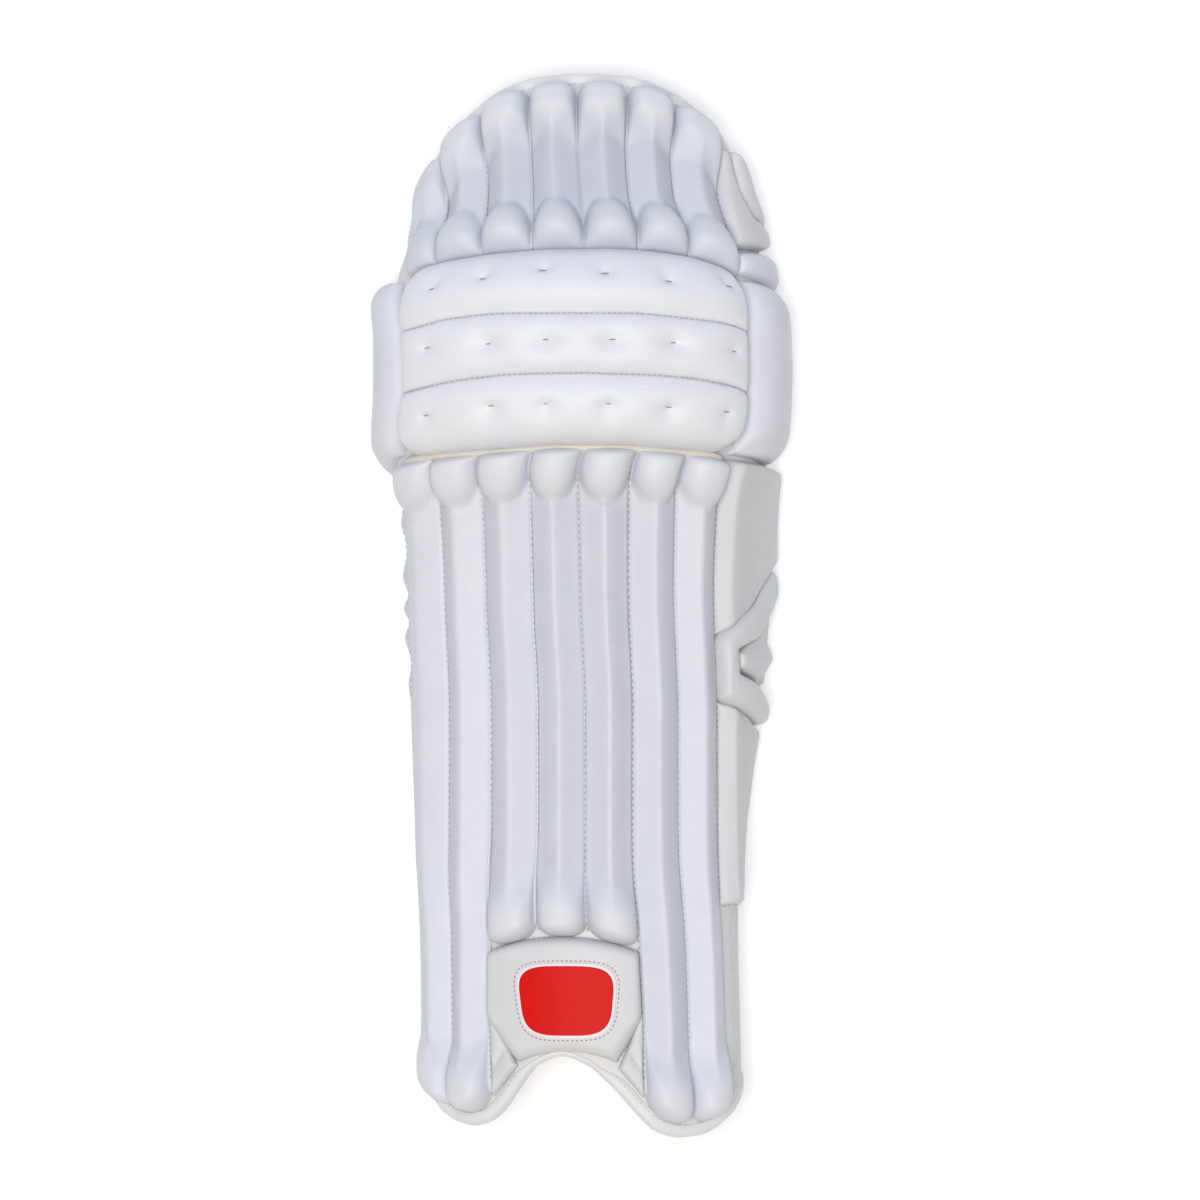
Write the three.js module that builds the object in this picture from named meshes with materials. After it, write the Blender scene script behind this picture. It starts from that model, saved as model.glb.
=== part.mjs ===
// Cricket batting pad for the left leg, lying on its back with the leg hollow down.
// Millimetres. +Z points out of the front of the pad, +Y up the leg, +X to the outer side of the leg.
import * as THREE from 'three';

// Overall sizes
const pad_length = 689;
const pad_width = 273;
const pad_height = 100; // floor to the front of the backing, at the knee
const arch_ratio = 2.73; // the front arc's height over its width share, as a share of pad_height

// Backing and binding
const backing_wall = 8;
const binding_width = 4.5;
const binding_thickness = 1.4;
const binding_ease = 0.9; // the toe and thigh ends of the rim are longer than its sides

// Clearances between neighbouring pieces
const seat_gap = 1.15; // between the backing and what is sewn on its front
const wall_seat_gap = 1.8; // between the backing's side walls, which curve more, and their panels
const bend_seat_gap = 2.4; // under the panel that turns back on itself
const pocket_seat_gap = 0.6;
const seam_gap = 0.8; // between two pieces along their seam

// Padding, measured out from the front of the backing
const seam_rise = 3;
const cane_rise = 14;
const knuckle_rise = 23;
const knuckle_length = 34;
const bulb_rise = 19;
const bulb_length = 44;
const roll_tip_length = 31;
const roll_setback = 1.5; // bare rim between the binding and the thigh rolls
const scallop_depth = 7; // how far the corners of a rounded end fall back
const bolster_rise = 31;
const bolster_end_share = 0.09; // of a bolster's length, over which each end rounds off
const bolster_end_rise = 0.25; // of its full rise, at the very end
const knee_wing_rise = 14;
const thigh_wing_rise = 12;
const shin_wing_rise = 16;
const lower_wing_rise = 10;
const pocket_rise = 14;
const instep_rise = 13;
const gusset_rise = 6;
const badge_width = 62;
const badge_length = 47;
const badge_thickness = 1.6;

// Straps across the back
const strap_width = 38;
const strap_thickness = 2;
const strap_floor_clearance = 3;
const strap_end_gap = 0.6;

// Canes and rolls near the pad's sides are slimmer than those in the middle. There is one value for each
// cane and for the roll above it, from the inner side to the outer one.
const roll_fullness = [0.68, 0.88, 1, 1, 1, 1, 0.92];
const cane_fullness = [0.9, 1, 1, 1, 1, 1, 1];
const cane_count = cane_fullness.length;
const outer_foot = cane_count + 1;

// Cross-sections of the backing, from the toe up. at is a share of pad_length. crown is the sideways
// place of the crown and radius is the front arc's, as shares of pad_width. height is the crown's, as a
// share of pad_height. inner and outer are the angles, in degrees, that the front arc turns through on
// each side of its crown.
const sections = [
  { at: 0.000, crown: 0.034, height: 0.92, radius: 0.505, inner: 52.5, outer: 37.0 },
  { at: 0.076, crown: 0.034, height: 0.89, radius: 0.505, inner: 53.5, outer: 36.0 },
  { at: 0.173, crown: 0.030, height: 0.87, radius: 0.505, inner: 53.5, outer: 35.5 },
  { at: 0.267, crown: 0.023, height: 0.88, radius: 0.505, inner: 56.0, outer: 35.0 },
  { at: 0.340, crown: 0.020, height: 0.90, radius: 0.505, inner: 56.0, outer: 35.2 },
  { at: 0.408, crown: 0.017, height: 0.92, radius: 0.505, inner: 56.0, outer: 35.5 },
  { at: 0.503, crown: 0.012, height: 0.95, radius: 0.505, inner: 57.0, outer: 35.0 },
  { at: 0.575, crown: 0.009, height: 0.98, radius: 0.517, inner: 56.0, outer: 35.2 },
  { at: 0.625, crown: 0.008, height: 1.00, radius: 0.565, inner: 50.5, outer: 34.0 },
  { at: 0.670, crown: 0.008, height: 1.02, radius: 0.630, inner: 42.5, outer: 34.5 },
  { at: 0.720, crown: 0.008, height: 1.03, radius: 0.645, inner: 40.0, outer: 34.0 },
  { at: 0.775, crown: 0.008, height: 1.02, radius: 0.635, inner: 43.0, outer: 34.5 },
  { at: 0.810, crown: 0.010, height: 0.98, radius: 0.580, inner: 49.0, outer: 37.0 },
  { at: 0.845, crown: 0.012, height: 0.905, radius: 0.525, inner: 52.5, outer: 38.5 },
  { at: 0.890, crown: 0.010, height: 0.785, radius: 0.505, inner: 53.0, outer: 36.5 },
  { at: 0.930, crown: 0.007, height: 0.68, radius: 0.505, inner: 53.0, outer: 36.0 },
  { at: 1.000, crown: 0.007, height: 0.50, radius: 0.505, inner: 53.0, outer: 36.0 },
];

// How far out the feet of the two side walls stand, as shares of pad_width
const feet = [
  { at: 0.000, inner: 0.391, outer: 0.370 },
  { at: 0.076, inner: 0.391, outer: 0.368 },
  { at: 0.173, inner: 0.393, outer: 0.366 },
  { at: 0.267, inner: 0.402, outer: 0.364 },
  { at: 0.340, inner: 0.409, outer: 0.378 },
  { at: 0.408, inner: 0.416, outer: 0.399 },
  { at: 0.503, inner: 0.427, outer: 0.424 },
  { at: 0.575, inner: 0.430, outer: 0.428 },
  { at: 0.625, inner: 0.440, outer: 0.433 },
  { at: 0.670, inner: 0.448, outer: 0.447 },
  { at: 0.720, inner: 0.448, outer: 0.453 },
  { at: 0.775, inner: 0.429, outer: 0.446 },
  { at: 0.810, inner: 0.424, outer: 0.430 },
  { at: 0.845, inner: 0.418, outer: 0.414 },
  { at: 0.890, inner: 0.403, outer: 0.396 },
  { at: 0.930, inner: 0.391, outer: 0.374 },
  { at: 1.000, inner: 0.376, outer: 0.345 },
];

// Below its front arc each side wall turns within turn_share of its own size, then runs straight down.
const turn_share = 0.25;
const turn_end = 0.45;

// Places across the pad are counted in canes: 0 to 7 over the front arc, down to -1 at the foot of the
// inner side wall and up to 8 at the foot of the outer one. Seams between canes wander a little.
const seam_places = [
  { at: 0.10, s1: 0.85, s2: 1.82, s3: 2.90, s4: 3.98, s5: 5.12, s6: 6.12 },
  { at: 0.17, s1: 0.87, s2: 1.88, s3: 2.95, s4: 4.02, s5: 5.09, s6: 6.12 },
  { at: 0.28, s1: 1.06, s2: 2.13, s3: 3.16, s4: 4.13, s5: 5.10, s6: 6.09 },
  { at: 0.50, s1: 1.14, s2: 2.17, s3: 3.19, s4: 4.16, s5: 5.13, s6: 6.09 },
  { at: 0.58, s1: 1.10, s2: 2.13, s3: 3.15, s4: 4.11, s5: 5.10, s6: 6.06 },
  { at: 0.65, s1: 0.94, s2: 1.94, s3: 2.98, s4: 3.96, s5: 4.99, s6: 5.96 },
  { at: 0.83, s1: 0.86, s2: 1.88, s3: 2.91, s4: 3.93, s5: 4.97, s6: 5.97 },
  { at: 0.90, s1: 1.00, s2: 1.97, s3: 2.98, s4: 3.96, s5: 4.97, s6: 5.94 },
];

// The rim, as shares of pad_length for places across the pad
const rim_top = [
  { at: -1.00, along: 0.832 },
  { at: -0.50, along: 0.856 },
  { at: 0.00, along: 0.885 },
  { at: 0.50, along: 0.917 },
  { at: 1.00, along: 0.942 },
  { at: 1.55, along: 0.964 },
  { at: 2.30, along: 0.986 },
  { at: 3.10, along: 0.997 },
  { at: 4.00, along: 1.000 },
  { at: 5.00, along: 0.998 },
  { at: 5.90, along: 0.986 },
  { at: 6.70, along: 0.965 },
  { at: 7.00, along: 0.954 },
  { at: 7.25, along: 0.940 },
  { at: 7.50, along: 0.920 },
  { at: 7.75, along: 0.890 },
  { at: 8.00, along: 0.842 },
];
const rim_bottom = [
  { at: -1.00, along: 0.060 },
  { at: -0.40, along: 0.050 },
  { at: 0.00, along: 0.038 },
  { at: 0.35, along: 0.023 },
  { at: 0.80, along: 0.013 },
  { at: 1.20, along: 0.010 },
  { at: 1.55, along: 0.013 },
  { at: 1.93, along: 0.024 },
  { at: 2.35, along: 0.046 },
  { at: 2.80, along: 0.068 },
  { at: 3.40, along: 0.077 },
  { at: 3.95, along: 0.069 },
  { at: 4.50, along: 0.048 },
  { at: 5.00, along: 0.023 },
  { at: 5.40, along: 0.006 },
  { at: 5.90, along: 0.000 },
  { at: 6.40, along: 0.002 },
  { at: 7.00, along: 0.015 },
  { at: 7.30, along: 0.036 },
  { at: 8.00, along: 0.056 },
];

// The edges of the three knee bolsters, as shares of pad_length, from the inner to the outer side
const knee_lines = [
  { at: 0.0, foot: 0.636, lower: 0.697, upper: 0.755, top: 0.806 },
  { at: 0.5, foot: 0.640, lower: 0.701, upper: 0.758, top: 0.815 },
  { at: 1.5, foot: 0.644, lower: 0.710, upper: 0.768, top: 0.824 },
  { at: 2.5, foot: 0.647, lower: 0.715, upper: 0.772, top: 0.830 },
  { at: 3.5, foot: 0.650, lower: 0.716, upper: 0.772, top: 0.833 },
  { at: 4.5, foot: 0.650, lower: 0.715, upper: 0.772, top: 0.833 },
  { at: 5.5, foot: 0.647, lower: 0.712, upper: 0.768, top: 0.829 },
  { at: 6.5, foot: 0.643, lower: 0.704, upper: 0.761, top: 0.818 },
  { at: 7.0, foot: 0.637, lower: 0.697, upper: 0.753, top: 0.807 },
];

// How far the ends of the bolsters lie in from the ends of the front arc, in canes
const bolster_ends = [
  { at: 0.635, inner: 0.50, outer: 0.45 },
  { at: 0.660, inner: 0.12, outer: 0.12 },
  { at: 0.700, inner: 0.05, outer: 0.05 },
  { at: 0.755, inner: 0.10, outer: 0.05 },
  { at: 0.780, inner: 0.28, outer: 0.08 },
  { at: 0.810, inner: 0.60, outer: 0.22 },
];

const side_rim = 0.14; // bare rim beside the first thigh roll, in canes

// Rise and roundness of a cane from an end with a knuckle to its plain run. reach is a share of the
// knuckle's length and rise of its rise; round is 1 for a domed section and 0 for a ridged one.
const knuckle_profile = [
  { reach: 0.00, rise: 0.35, round: 1.0 },
  { reach: 0.10, rise: 0.72, round: 1.0 },
  { reach: 0.30, rise: 0.95, round: 1.0 },
  { reach: 0.55, rise: 1.00, round: 1.0 },
  { reach: 0.85, rise: 0.82, round: 0.8 },
  { reach: 1.05, rise: 0.62, round: 0.1 },
];
const bulb_profile = [
  { reach: 0.00, rise: 0.30, round: 1.0 },
  { reach: 0.10, rise: 0.70, round: 1.0 },
  { reach: 0.32, rise: 0.97, round: 1.0 },
  { reach: 0.60, rise: 0.96, round: 0.9 },
  { reach: 1.00, rise: 0.74, round: 0.2 },
];
const plain_run_steps = 6;
const roll_run_steps = 2;

// Samples across a piece, from one edge to the other
const domed_across = [0, 0.09, 0.27, 0.5, 0.73, 0.91, 1];
const front_under = [0, 0.33, 0.67, 1];
const wall_across = [0, 0.07, 0.15, 0.30, 0.45, 0.65, 0.85, 1];
const panel_across = [0, 0.12, 0.37, 0.63, 0.88, 1];

const smooth_column = (rows, column, place, key = 'at') => {
  const last = rows.length - 1;
  const x = Math.min(Math.max(place, rows[0][key]), rows[last][key]);
  let i = 0;
  while (i < last - 1 && x > rows[i + 1][key]) i += 1;
  const slope = (j) => (rows[j + 1][column] - rows[j][column]) / (rows[j + 1][key] - rows[j][key]);
  const lean = (j) => {
    if (j === 0) return slope(0);
    if (j === last) return slope(last - 1);
    const before = slope(j - 1);
    const after = slope(j);
    return before * after <= 0 ? 0 : (2 * before * after) / (before + after);
  };
  const span = rows[i + 1][key] - rows[i][key];
  const t = (x - rows[i][key]) / span;
  const start = (1 + 2 * t) * (1 - t) * (1 - t) * rows[i][column] + t * (1 - t) * (1 - t) * span * lean(i);
  const finish = t * t * (3 - 2 * t) * rows[i + 1][column] - t * t * (1 - t) * span * lean(i + 1);
  return start + finish;
};

const mix = (from, to, share) => from + (to - from) * share;

// Front of the backing at a place across and a share along
const backing_point = (across, along) => {
  const read = (column) => smooth_column(sections, column, along);
  const crown_x = read('crown') * pad_width;
  const crown_z = read('height') * pad_height;
  const radius_x = read('radius') * pad_width;
  const radius_z = read('radius') * arch_ratio * pad_height;
  const y = along * pad_length;
  const on_arc = (degrees) => {
    const angle = THREE.MathUtils.degToRad(degrees);
    return new THREE.Vector2(crown_x + radius_x * Math.sin(angle), crown_z - radius_z * (1 - Math.cos(angle)));
  };
  const inner = -read('inner');
  const outer = read('outer');
  if (across >= 0 && across <= cane_count) {
    const spot = on_arc(mix(inner, outer, across / cane_count));
    return new THREE.Vector3(spot.x, y, spot.y);
  }
  const inside = across < 0;
  const depth = inside ? -across : across - cane_count;
  const start = on_arc(inside ? inner : outer);
  const foot_share = inside ? -smooth_column(feet, 'inner', along) : smooth_column(feet, 'outer', along);
  const foot = new THREE.Vector2(foot_share * pad_width, 0);
  const angle = THREE.MathUtils.degToRad(inside ? inner : outer);
  const side = inside ? -1 : 1;
  const heading = new THREE.Vector2(
    side * radius_x * Math.cos(angle), -radius_z * Math.abs(Math.sin(angle)),
  );
  const turn = turn_share * foot.distanceTo(start);
  const corner = start.clone().addScaledVector(heading.normalize(), turn);
  const turned = corner.clone().addScaledVector(foot.clone().sub(corner).normalize(), turn);
  const t = Math.min(depth / turn_end, 1);
  const bend = start.clone().multiplyScalar((1 - t) * (1 - t));
  bend.addScaledVector(corner, 2 * t * (1 - t)).addScaledVector(turned, t * t);
  const drop = Math.max((depth - turn_end) / (1 - turn_end), 0);
  return new THREE.Vector3(mix(bend.x, foot.x, drop), y, mix(bend.y, foot.y, drop));
};

// The same place, raised off the backing along the surface's normal
const normal_step = 0.004; // in canes and in shares of pad_length
const raised_point = (across, along, rise) => {
  const west = backing_point(Math.max(across - normal_step, -1), along);
  const east = backing_point(Math.min(across + normal_step, outer_foot), along);
  const south = backing_point(across, along - normal_step);
  const north = backing_point(across, along + normal_step);
  const normal = east.sub(west).cross(north.sub(south)).normalize();
  return backing_point(across, along).addScaledVector(normal, rise);
};

const solid_from = (points, faces) => {
  const shape = new THREE.BufferGeometry();
  shape.setAttribute('position', new THREE.Float32BufferAttribute(points.flatMap((p) => p.toArray()), 3));
  let volume = 0;
  for (const [a, b, c] of faces) {
    volume += points[a].dot(points[b].clone().cross(points[c]));
  }
  shape.setIndex(faces.flatMap(([a, b, c]) => (volume > 0 ? [a, b, c] : [a, c, b])));
  return shape;
};

// Triangles between two rows of points with different counts, each a list of indices
const zip_rows = (near, far, faces) => {
  let i = 0;
  let j = 0;
  while (i < near.length - 1 || j < far.length - 1) {
    const near_next = (i + 1) / (near.length - 1);
    const far_next = (j + 1) / (far.length - 1);
    if (j === far.length - 1 || (i < near.length - 1 && near_next <= far_next)) {
      faces.push([near[i], near[i + 1], far[j]]);
      i += 1;
    } else {
      faces.push([near[i], far[j + 1], far[j]]);
      j += 1;
    }
  }
};

// A padded piece: place gives across and along for shares of its own width and length, rise gives the
// height of its top, and its underside lies bed off the backing.
const padded_solid = (stations, over, under, place, rise, bed = seat_gap) => {
  const points = [];
  const tops = [];
  const beds = [];
  const faces = [];
  const lay = (samples, b, height) => samples.map((a) => {
    const [across, along] = place(a, b);
    points.push(raised_point(across, along, height(a, b)));
    return points.length - 1;
  });
  for (const b of stations) {
    tops.push(lay(over, b, rise));
    beds.push(lay(under, b, () => bed));
  }
  for (let j = 0; j < stations.length - 1; j += 1) {
    for (let i = 0; i < over.length - 1; i += 1) {
      const [a, b, c, d] = [tops[j][i], tops[j][i + 1], tops[j + 1][i + 1], tops[j + 1][i]];
      faces.push([a, b, c], [a, c, d]);
    }
    for (let i = 0; i < under.length - 1; i += 1) {
      const [a, b, c, d] = [beds[j][i], beds[j][i + 1], beds[j + 1][i + 1], beds[j + 1][i]];
      faces.push([a, c, b], [a, d, c]);
    }
    const [t0, t1, b0, b1] = [tops[j][0], tops[j + 1][0], beds[j][0], beds[j + 1][0]];
    faces.push([t0, t1, b1], [t0, b1, b0]);
    const [u0, u1, v0, v1] = [tops[j].at(-1), tops[j + 1].at(-1), beds[j].at(-1), beds[j + 1].at(-1)];
    faces.push([u0, v1, u1], [u0, v0, v1]);
  }
  const caps = [];
  zip_rows(tops[0], beds[0], caps);
  faces.push(...caps.map(([a, b, c]) => [a, c, b]));
  zip_rows(tops.at(-1), beds.at(-1), faces);
  return solid_from(points, faces);
};

const dome = (a) => Math.sqrt(Math.max(1 - (2 * a - 1) ** 2, 0));
const ridge_softness = 0.16;
const roof = (a) => 1 - (Math.hypot(2 * a - 1, ridge_softness) - ridge_softness)
  / (Math.hypot(1, ridge_softness) - ridge_softness);
const pillow = (a) => Math.sqrt(Math.max(1 - (2 * a - 1) ** 4, 0));

const seam_across = (number, along) => {
  if (number === 0) return 0;
  if (number === cane_count) return cane_count;
  return smooth_column(seam_places, `s${number}`, along);
};

// Shares of a piece's width that keep half the seam gap at each edge
const inset = (a, across_from, across_to, along) => {
  const width = backing_point(across_from, along).distanceTo(backing_point(across_to, along));
  const edge = seam_gap / 2 / width;
  return mix(edge, 1 - edge, a);
};

const cane_place = (number, { bottom, top, side }) => (a, b) => {
  const rough = mix(bottom(number + 0.5, 0.5), top(number + 0.5, 0.5), b);
  const from = number === 0 ? side : seam_across(number, rough);
  const to = seam_across(number + 1, rough);
  const across = mix(from, to, inset(a, from, to, rough));
  return [across, mix(bottom(across, a), top(across, a), b)];
};

const cane_solid = (number, ends, run_steps) => {
  const middle = number + 0.5;
  const length = (ends.top(middle, 0.5) - ends.bottom(middle, 0.5)) * pad_length;
  const rows = [];
  for (const row of ends.low_profile) {
    rows.push({ b: (row.reach * ends.low_length) / length, rise: row.rise * ends.low_rise, round: row.round });
  }
  const high = ends.high_profile.map((row) => ({
    b: 1 - (row.reach * ends.high_length) / length, rise: row.rise * ends.high_rise, round: row.round,
  })).reverse();
  const run_from = rows.at(-1).b;
  const run_to = high[0].b;
  for (let i = 1; i < run_steps; i += 1) {
    rows.push({ b: mix(run_from, run_to, i / run_steps), rise: cane_rise, round: 0 });
  }
  rows.push(...high);
  const rise = (a, b) => {
    const crest = rows.find((row) => row.b === b);
    const form = mix(roof(a), dome(a), crest.round);
    return seam_rise + Math.max(crest.rise * ends.fullness[number] - seam_rise, 0) * form;
  };
  const place = cane_place(number, ends);
  return padded_solid(rows.map((row) => row.b), domed_across, front_under, place, rise);
};

// Ends of canes and rolls
const rim_margin = (binding_width + 2 * seam_gap) / pad_length;
const scallop = (a) => (scallop_depth * (1 - dome(a))) / pad_length;
const knee_line = (column, across) => smooth_column(knee_lines, column, across);
const half_gap = seam_gap / 2 / pad_length;
const roll_margin = rim_margin + roll_setback / pad_length;
const under_rim = (across, a) => smooth_column(rim_top, 'along', across) - roll_margin - scallop(a);
const over_rim = (across, a) => smooth_column(rim_bottom, 'along', across) + rim_margin + scallop(a);
const above_knee = (across) => knee_line('top', across) + half_gap;
const below_knee = (across) => knee_line('foot', across) - half_gap;

// The instep panel's rows, from its top edge down. inner and outer are how far its edges lie in from
// the seams of the canes beside it, in canes.
const instep_rows = [
  { inner: 0.00, outer: 0.00, along: 0.172 },
  { inner: 0.00, outer: 0.00, along: 0.145 },
  { inner: 0.00, outer: 0.00, along: 0.118 },
  { inner: 0.28, outer: 0.24, along: 0.096 },
  { inner: 0.66, outer: 0.56, along: 0.074 },
];
const instep_top_arch = 0.014;
const instep_foot_arch = 0.016;
const instep_foot_drop = 0.0064;
const instep_first = 2;
const instep_last = 4;
const instep_line = (across) => {
  const level = instep_rows[0].along;
  const from = seam_across(instep_first, level);
  const a = (across - from) / (seam_across(instep_last + 1, level) - from);
  return level + instep_top_arch * (1 - (2 * a - 1) ** 2);
};
const over_instep = (across, a) => instep_line(across) + half_gap + scallop(a) / 2;

const bolster_end_stations = [0, 0.015, 0.06];
const bolster_solid = (low, high) => {
  const ends = bolster_end_stations;
  const stations = [...ends];
  const middles = cane_count * 2;
  for (let i = 2; i < middles - 1; i += 1) stations.push(i / middles);
  stations.push(...ends.map((b) => 1 - b).reverse());
  const place = (a, b) => {
    const level = mix(knee_line(low, cane_count * b), knee_line(high, cane_count * b), a);
    const inner = smooth_column(bolster_ends, 'inner', level);
    const outer = smooth_column(bolster_ends, 'outer', level);
    const across = mix(inner, cane_count - outer, b);
    const from = knee_line(low, across) + half_gap;
    const to = knee_line(high, across) - half_gap;
    return [across, mix(from, to, a)];
  };
  const rise = (a, b) => {
    const reach = Math.min(b, 1 - b) / bolster_end_share;
    const fade = Math.sqrt(Math.max(1 - (1 - Math.min(reach, 1)) ** 2, 0));
    return seam_rise + (bolster_rise - seam_rise) * dome(a) * mix(bolster_end_rise, 1, fade);
  };
  return padded_solid(stations, domed_across, front_under, place, rise);
};

const panel_edge_station = 0.35; // of the step between two stations
// A panel between two edges. Each row gives a place on one edge and the facing place on the other.
const panel_solid = (rows, over, steps, top, { bed = wall_seat_gap, fade = pillow } = {}) => {
  const last = rows.length - 1;
  const stations = [];
  for (let i = 0; i <= steps; i += 1) stations.push(i / steps);
  const edge_step = panel_edge_station / steps;
  stations.splice(1, 0, edge_step);
  stations.splice(-1, 0, 1 - edge_step);
  const place = (a, b) => {
    const numbered = rows.map((row, i) => ({ ...row, at: i / last }));
    const read = (column, share) => smooth_column(numbered, column, share);
    const start = backing_point(read('from', 0), read('from_along', 0));
    const end = backing_point(read('from', 1), read('from_along', 1));
    const margin = seam_gap / 2 / Math.max(start.distanceTo(end), seam_gap);
    const share = mix(margin, 1 - margin, b);
    const near = backing_point(read('from', share), read('from_along', share));
    const far = backing_point(read('to', share), read('to_along', share));
    const edge = seam_gap / 2 / Math.max(near.distanceTo(far), seam_gap * 2);
    const reach = mix(edge, 1 - edge, a);
    return [
      mix(read('from', share), read('to', share), reach),
      mix(read('from_along', share), read('to_along', share), reach),
    ];
  };
  const rise = (a, b) => seam_rise + (top - seam_rise) * pillow(a) * fade(b);
  return padded_solid(stations, over, over, place, rise, bed);
};

// Where the side walls' panels stop above the binding
const inner_hem = -0.89;
const outer_hem = outer_foot - 0.10;

// Panels of the wings. from and to are places across the pad, and the alongs are shares of pad_length.
const panels = {
  knee_wing_inner: [
    { from: 0, from_along: 0.640, to: inner_hem, to_along: 0.618 },
    { from: 0, from_along: 0.700, to: inner_hem, to_along: 0.680 },
    { from: 0, from_along: 0.755, to: inner_hem, to_along: 0.740 },
    { from: 0, from_along: 0.804, to: inner_hem, to_along: 0.800 },
  ],
  knee_wing_outer: [
    { from: 7, from_along: 0.640, to: outer_hem, to_along: 0.632 },
    { from: 7, from_along: 0.700, to: outer_hem, to_along: 0.690 },
    { from: 7, from_along: 0.755, to: outer_hem, to_along: 0.745 },
    { from: 7, from_along: 0.806, to: outer_hem, to_along: 0.788 },
  ],
  thigh_wing_puff: [
    { from: 7, from_along: 0.810, to: outer_hem, to_along: 0.793 },
    { from: 7, from_along: 0.826, to: outer_hem, to_along: 0.812 },
    { from: 7, from_along: 0.829, to: outer_hem, to_along: 0.830 },
  ],
  thigh_wing_front: [
    { from: 7, from_along: 0.834, to: 7.62, to_along: 0.836 },
    { from: 7, from_along: 0.862, to: 7.38, to_along: 0.852 },
    { from: 7, from_along: 0.895, to: 7.22, to_along: 0.890 },
    { from: 7, from_along: 0.932, to: 7.16, to_along: 0.926 },
  ],
  thigh_wing_side: [
    { from: 7.42, from_along: 0.855, to: 7.80, to_along: 0.852 },
    { from: 7.26, from_along: 0.890, to: 7.60, to_along: 0.878 },
    { from: 7.20, from_along: 0.925, to: 7.34, to_along: 0.917 },
  ],
  shin_wing_upper: [
    { from: 7, from_along: 0.470, to: outer_hem, to_along: 0.540 },
    { from: 7, from_along: 0.550, to: outer_hem, to_along: 0.575 },
    { from: 7, from_along: 0.636, to: outer_hem, to_along: 0.628 },
  ],
  shin_wing_bend: [
    { from: outer_hem, from_along: 0.534, to: outer_hem, to_along: 0.496 },
    { from: 7.45, from_along: 0.502, to: 7.62, to_along: 0.474 },
    { from: 7.00, from_along: 0.462, to: 7.26, to_along: 0.452 },
    { from: 7.00, from_along: 0.412, to: 7.30, to_along: 0.432 },
    { from: 7.50, from_along: 0.392, to: 7.66, to_along: 0.420 },
    { from: outer_hem, from_along: 0.384, to: outer_hem, to_along: 0.412 },
  ],
  shin_wing_pocket: [
    { from: 7.34, from_along: 0.440, to: 7.34, to_along: 0.449 },
    { from: 7.55, from_along: 0.431, to: 7.55, to_along: 0.461 },
    { from: outer_hem, from_along: 0.417, to: outer_hem, to_along: 0.491 },
  ],
  shin_wing_lower: [
    { from: 7, from_along: 0.213, to: outer_hem, to_along: 0.222 },
    { from: 7, from_along: 0.320, to: outer_hem, to_along: 0.310 },
    { from: 7, from_along: 0.406, to: outer_hem, to_along: 0.378 },
  ],
  instep_gusset_inner: [
    { from: 1.87, from_along: 0.036, to: 2.42, to_along: 0.066 },
    { from: 1.85, from_along: 0.074, to: 2.12, to_along: 0.086 },
    { from: 1.84, from_along: 0.108, to: 1.92, to_along: 0.108 },
  ],
  instep_gusset_outer: [
    { from: 4.64, from_along: 0.066, to: 5.08, to_along: 0.038 },
    { from: 4.88, from_along: 0.088, to: 5.10, to_along: 0.078 },
    { from: 5.04, from_along: 0.108, to: 5.10, to_along: 0.108 },
  ],
};

// Backing: a hollow shell between its front face and a leg-side face, with open ends and feet on the floor
const wall_columns = [0.15, 0.30, 0.45, 0.65, 0.85, 1];
const backing_rows = 26;
const backing_columns = [
  ...wall_columns.map((depth) => -depth).reverse(),
  ...Array.from({ length: cane_count * 2 + 1 }, (_, i) => i / 2),
  ...wall_columns.map((depth) => cane_count + depth),
];
const backing_place = (across, share) => [
  across, mix(smooth_column(rim_bottom, 'along', across), smooth_column(rim_top, 'along', across), share),
];

const backing_solid = () => {
  const points = [];
  const grid = { front: [], back: [] };
  for (let j = 0; j <= backing_rows; j += 1) {
    const front = [];
    const back = [];
    for (const across of backing_columns) {
      const [c, along] = backing_place(across, j / backing_rows);
      front.push(points.push(raised_point(c, along, 0)) - 1);
      const leg_side = raised_point(c, along, -backing_wall);
      if (across === -1 || across === outer_foot) leg_side.z = 0;
      leg_side.z = Math.max(leg_side.z, 0);
      back.push(points.push(leg_side) - 1);
    }
    grid.front.push(front);
    grid.back.push(back);
  }
  const faces = [];
  const across_last = backing_columns.length - 1;
  const quad = (a, b, c, d) => faces.push([a, b, c], [a, c, d]);
  const { front, back } = grid;
  for (let j = 0; j < backing_rows; j += 1) {
    for (let i = 0; i < across_last; i += 1) {
      quad(front[j][i], front[j][i + 1], front[j + 1][i + 1], front[j + 1][i]);
      quad(back[j][i], back[j + 1][i], back[j + 1][i + 1], back[j][i + 1]);
    }
    quad(front[j][0], front[j + 1][0], back[j + 1][0], back[j][0]);
    quad(front[j][across_last], back[j][across_last], back[j + 1][across_last], front[j + 1][across_last]);
  }
  for (let i = 0; i < across_last; i += 1) {
    quad(front[0][i], back[0][i], back[0][i + 1], front[0][i + 1]);
    const [front_top, back_top] = [front[backing_rows], back[backing_rows]];
    quad(front_top[i], front_top[i + 1], back_top[i + 1], back_top[i]);
  }
  return solid_from(points, faces);
};

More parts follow.
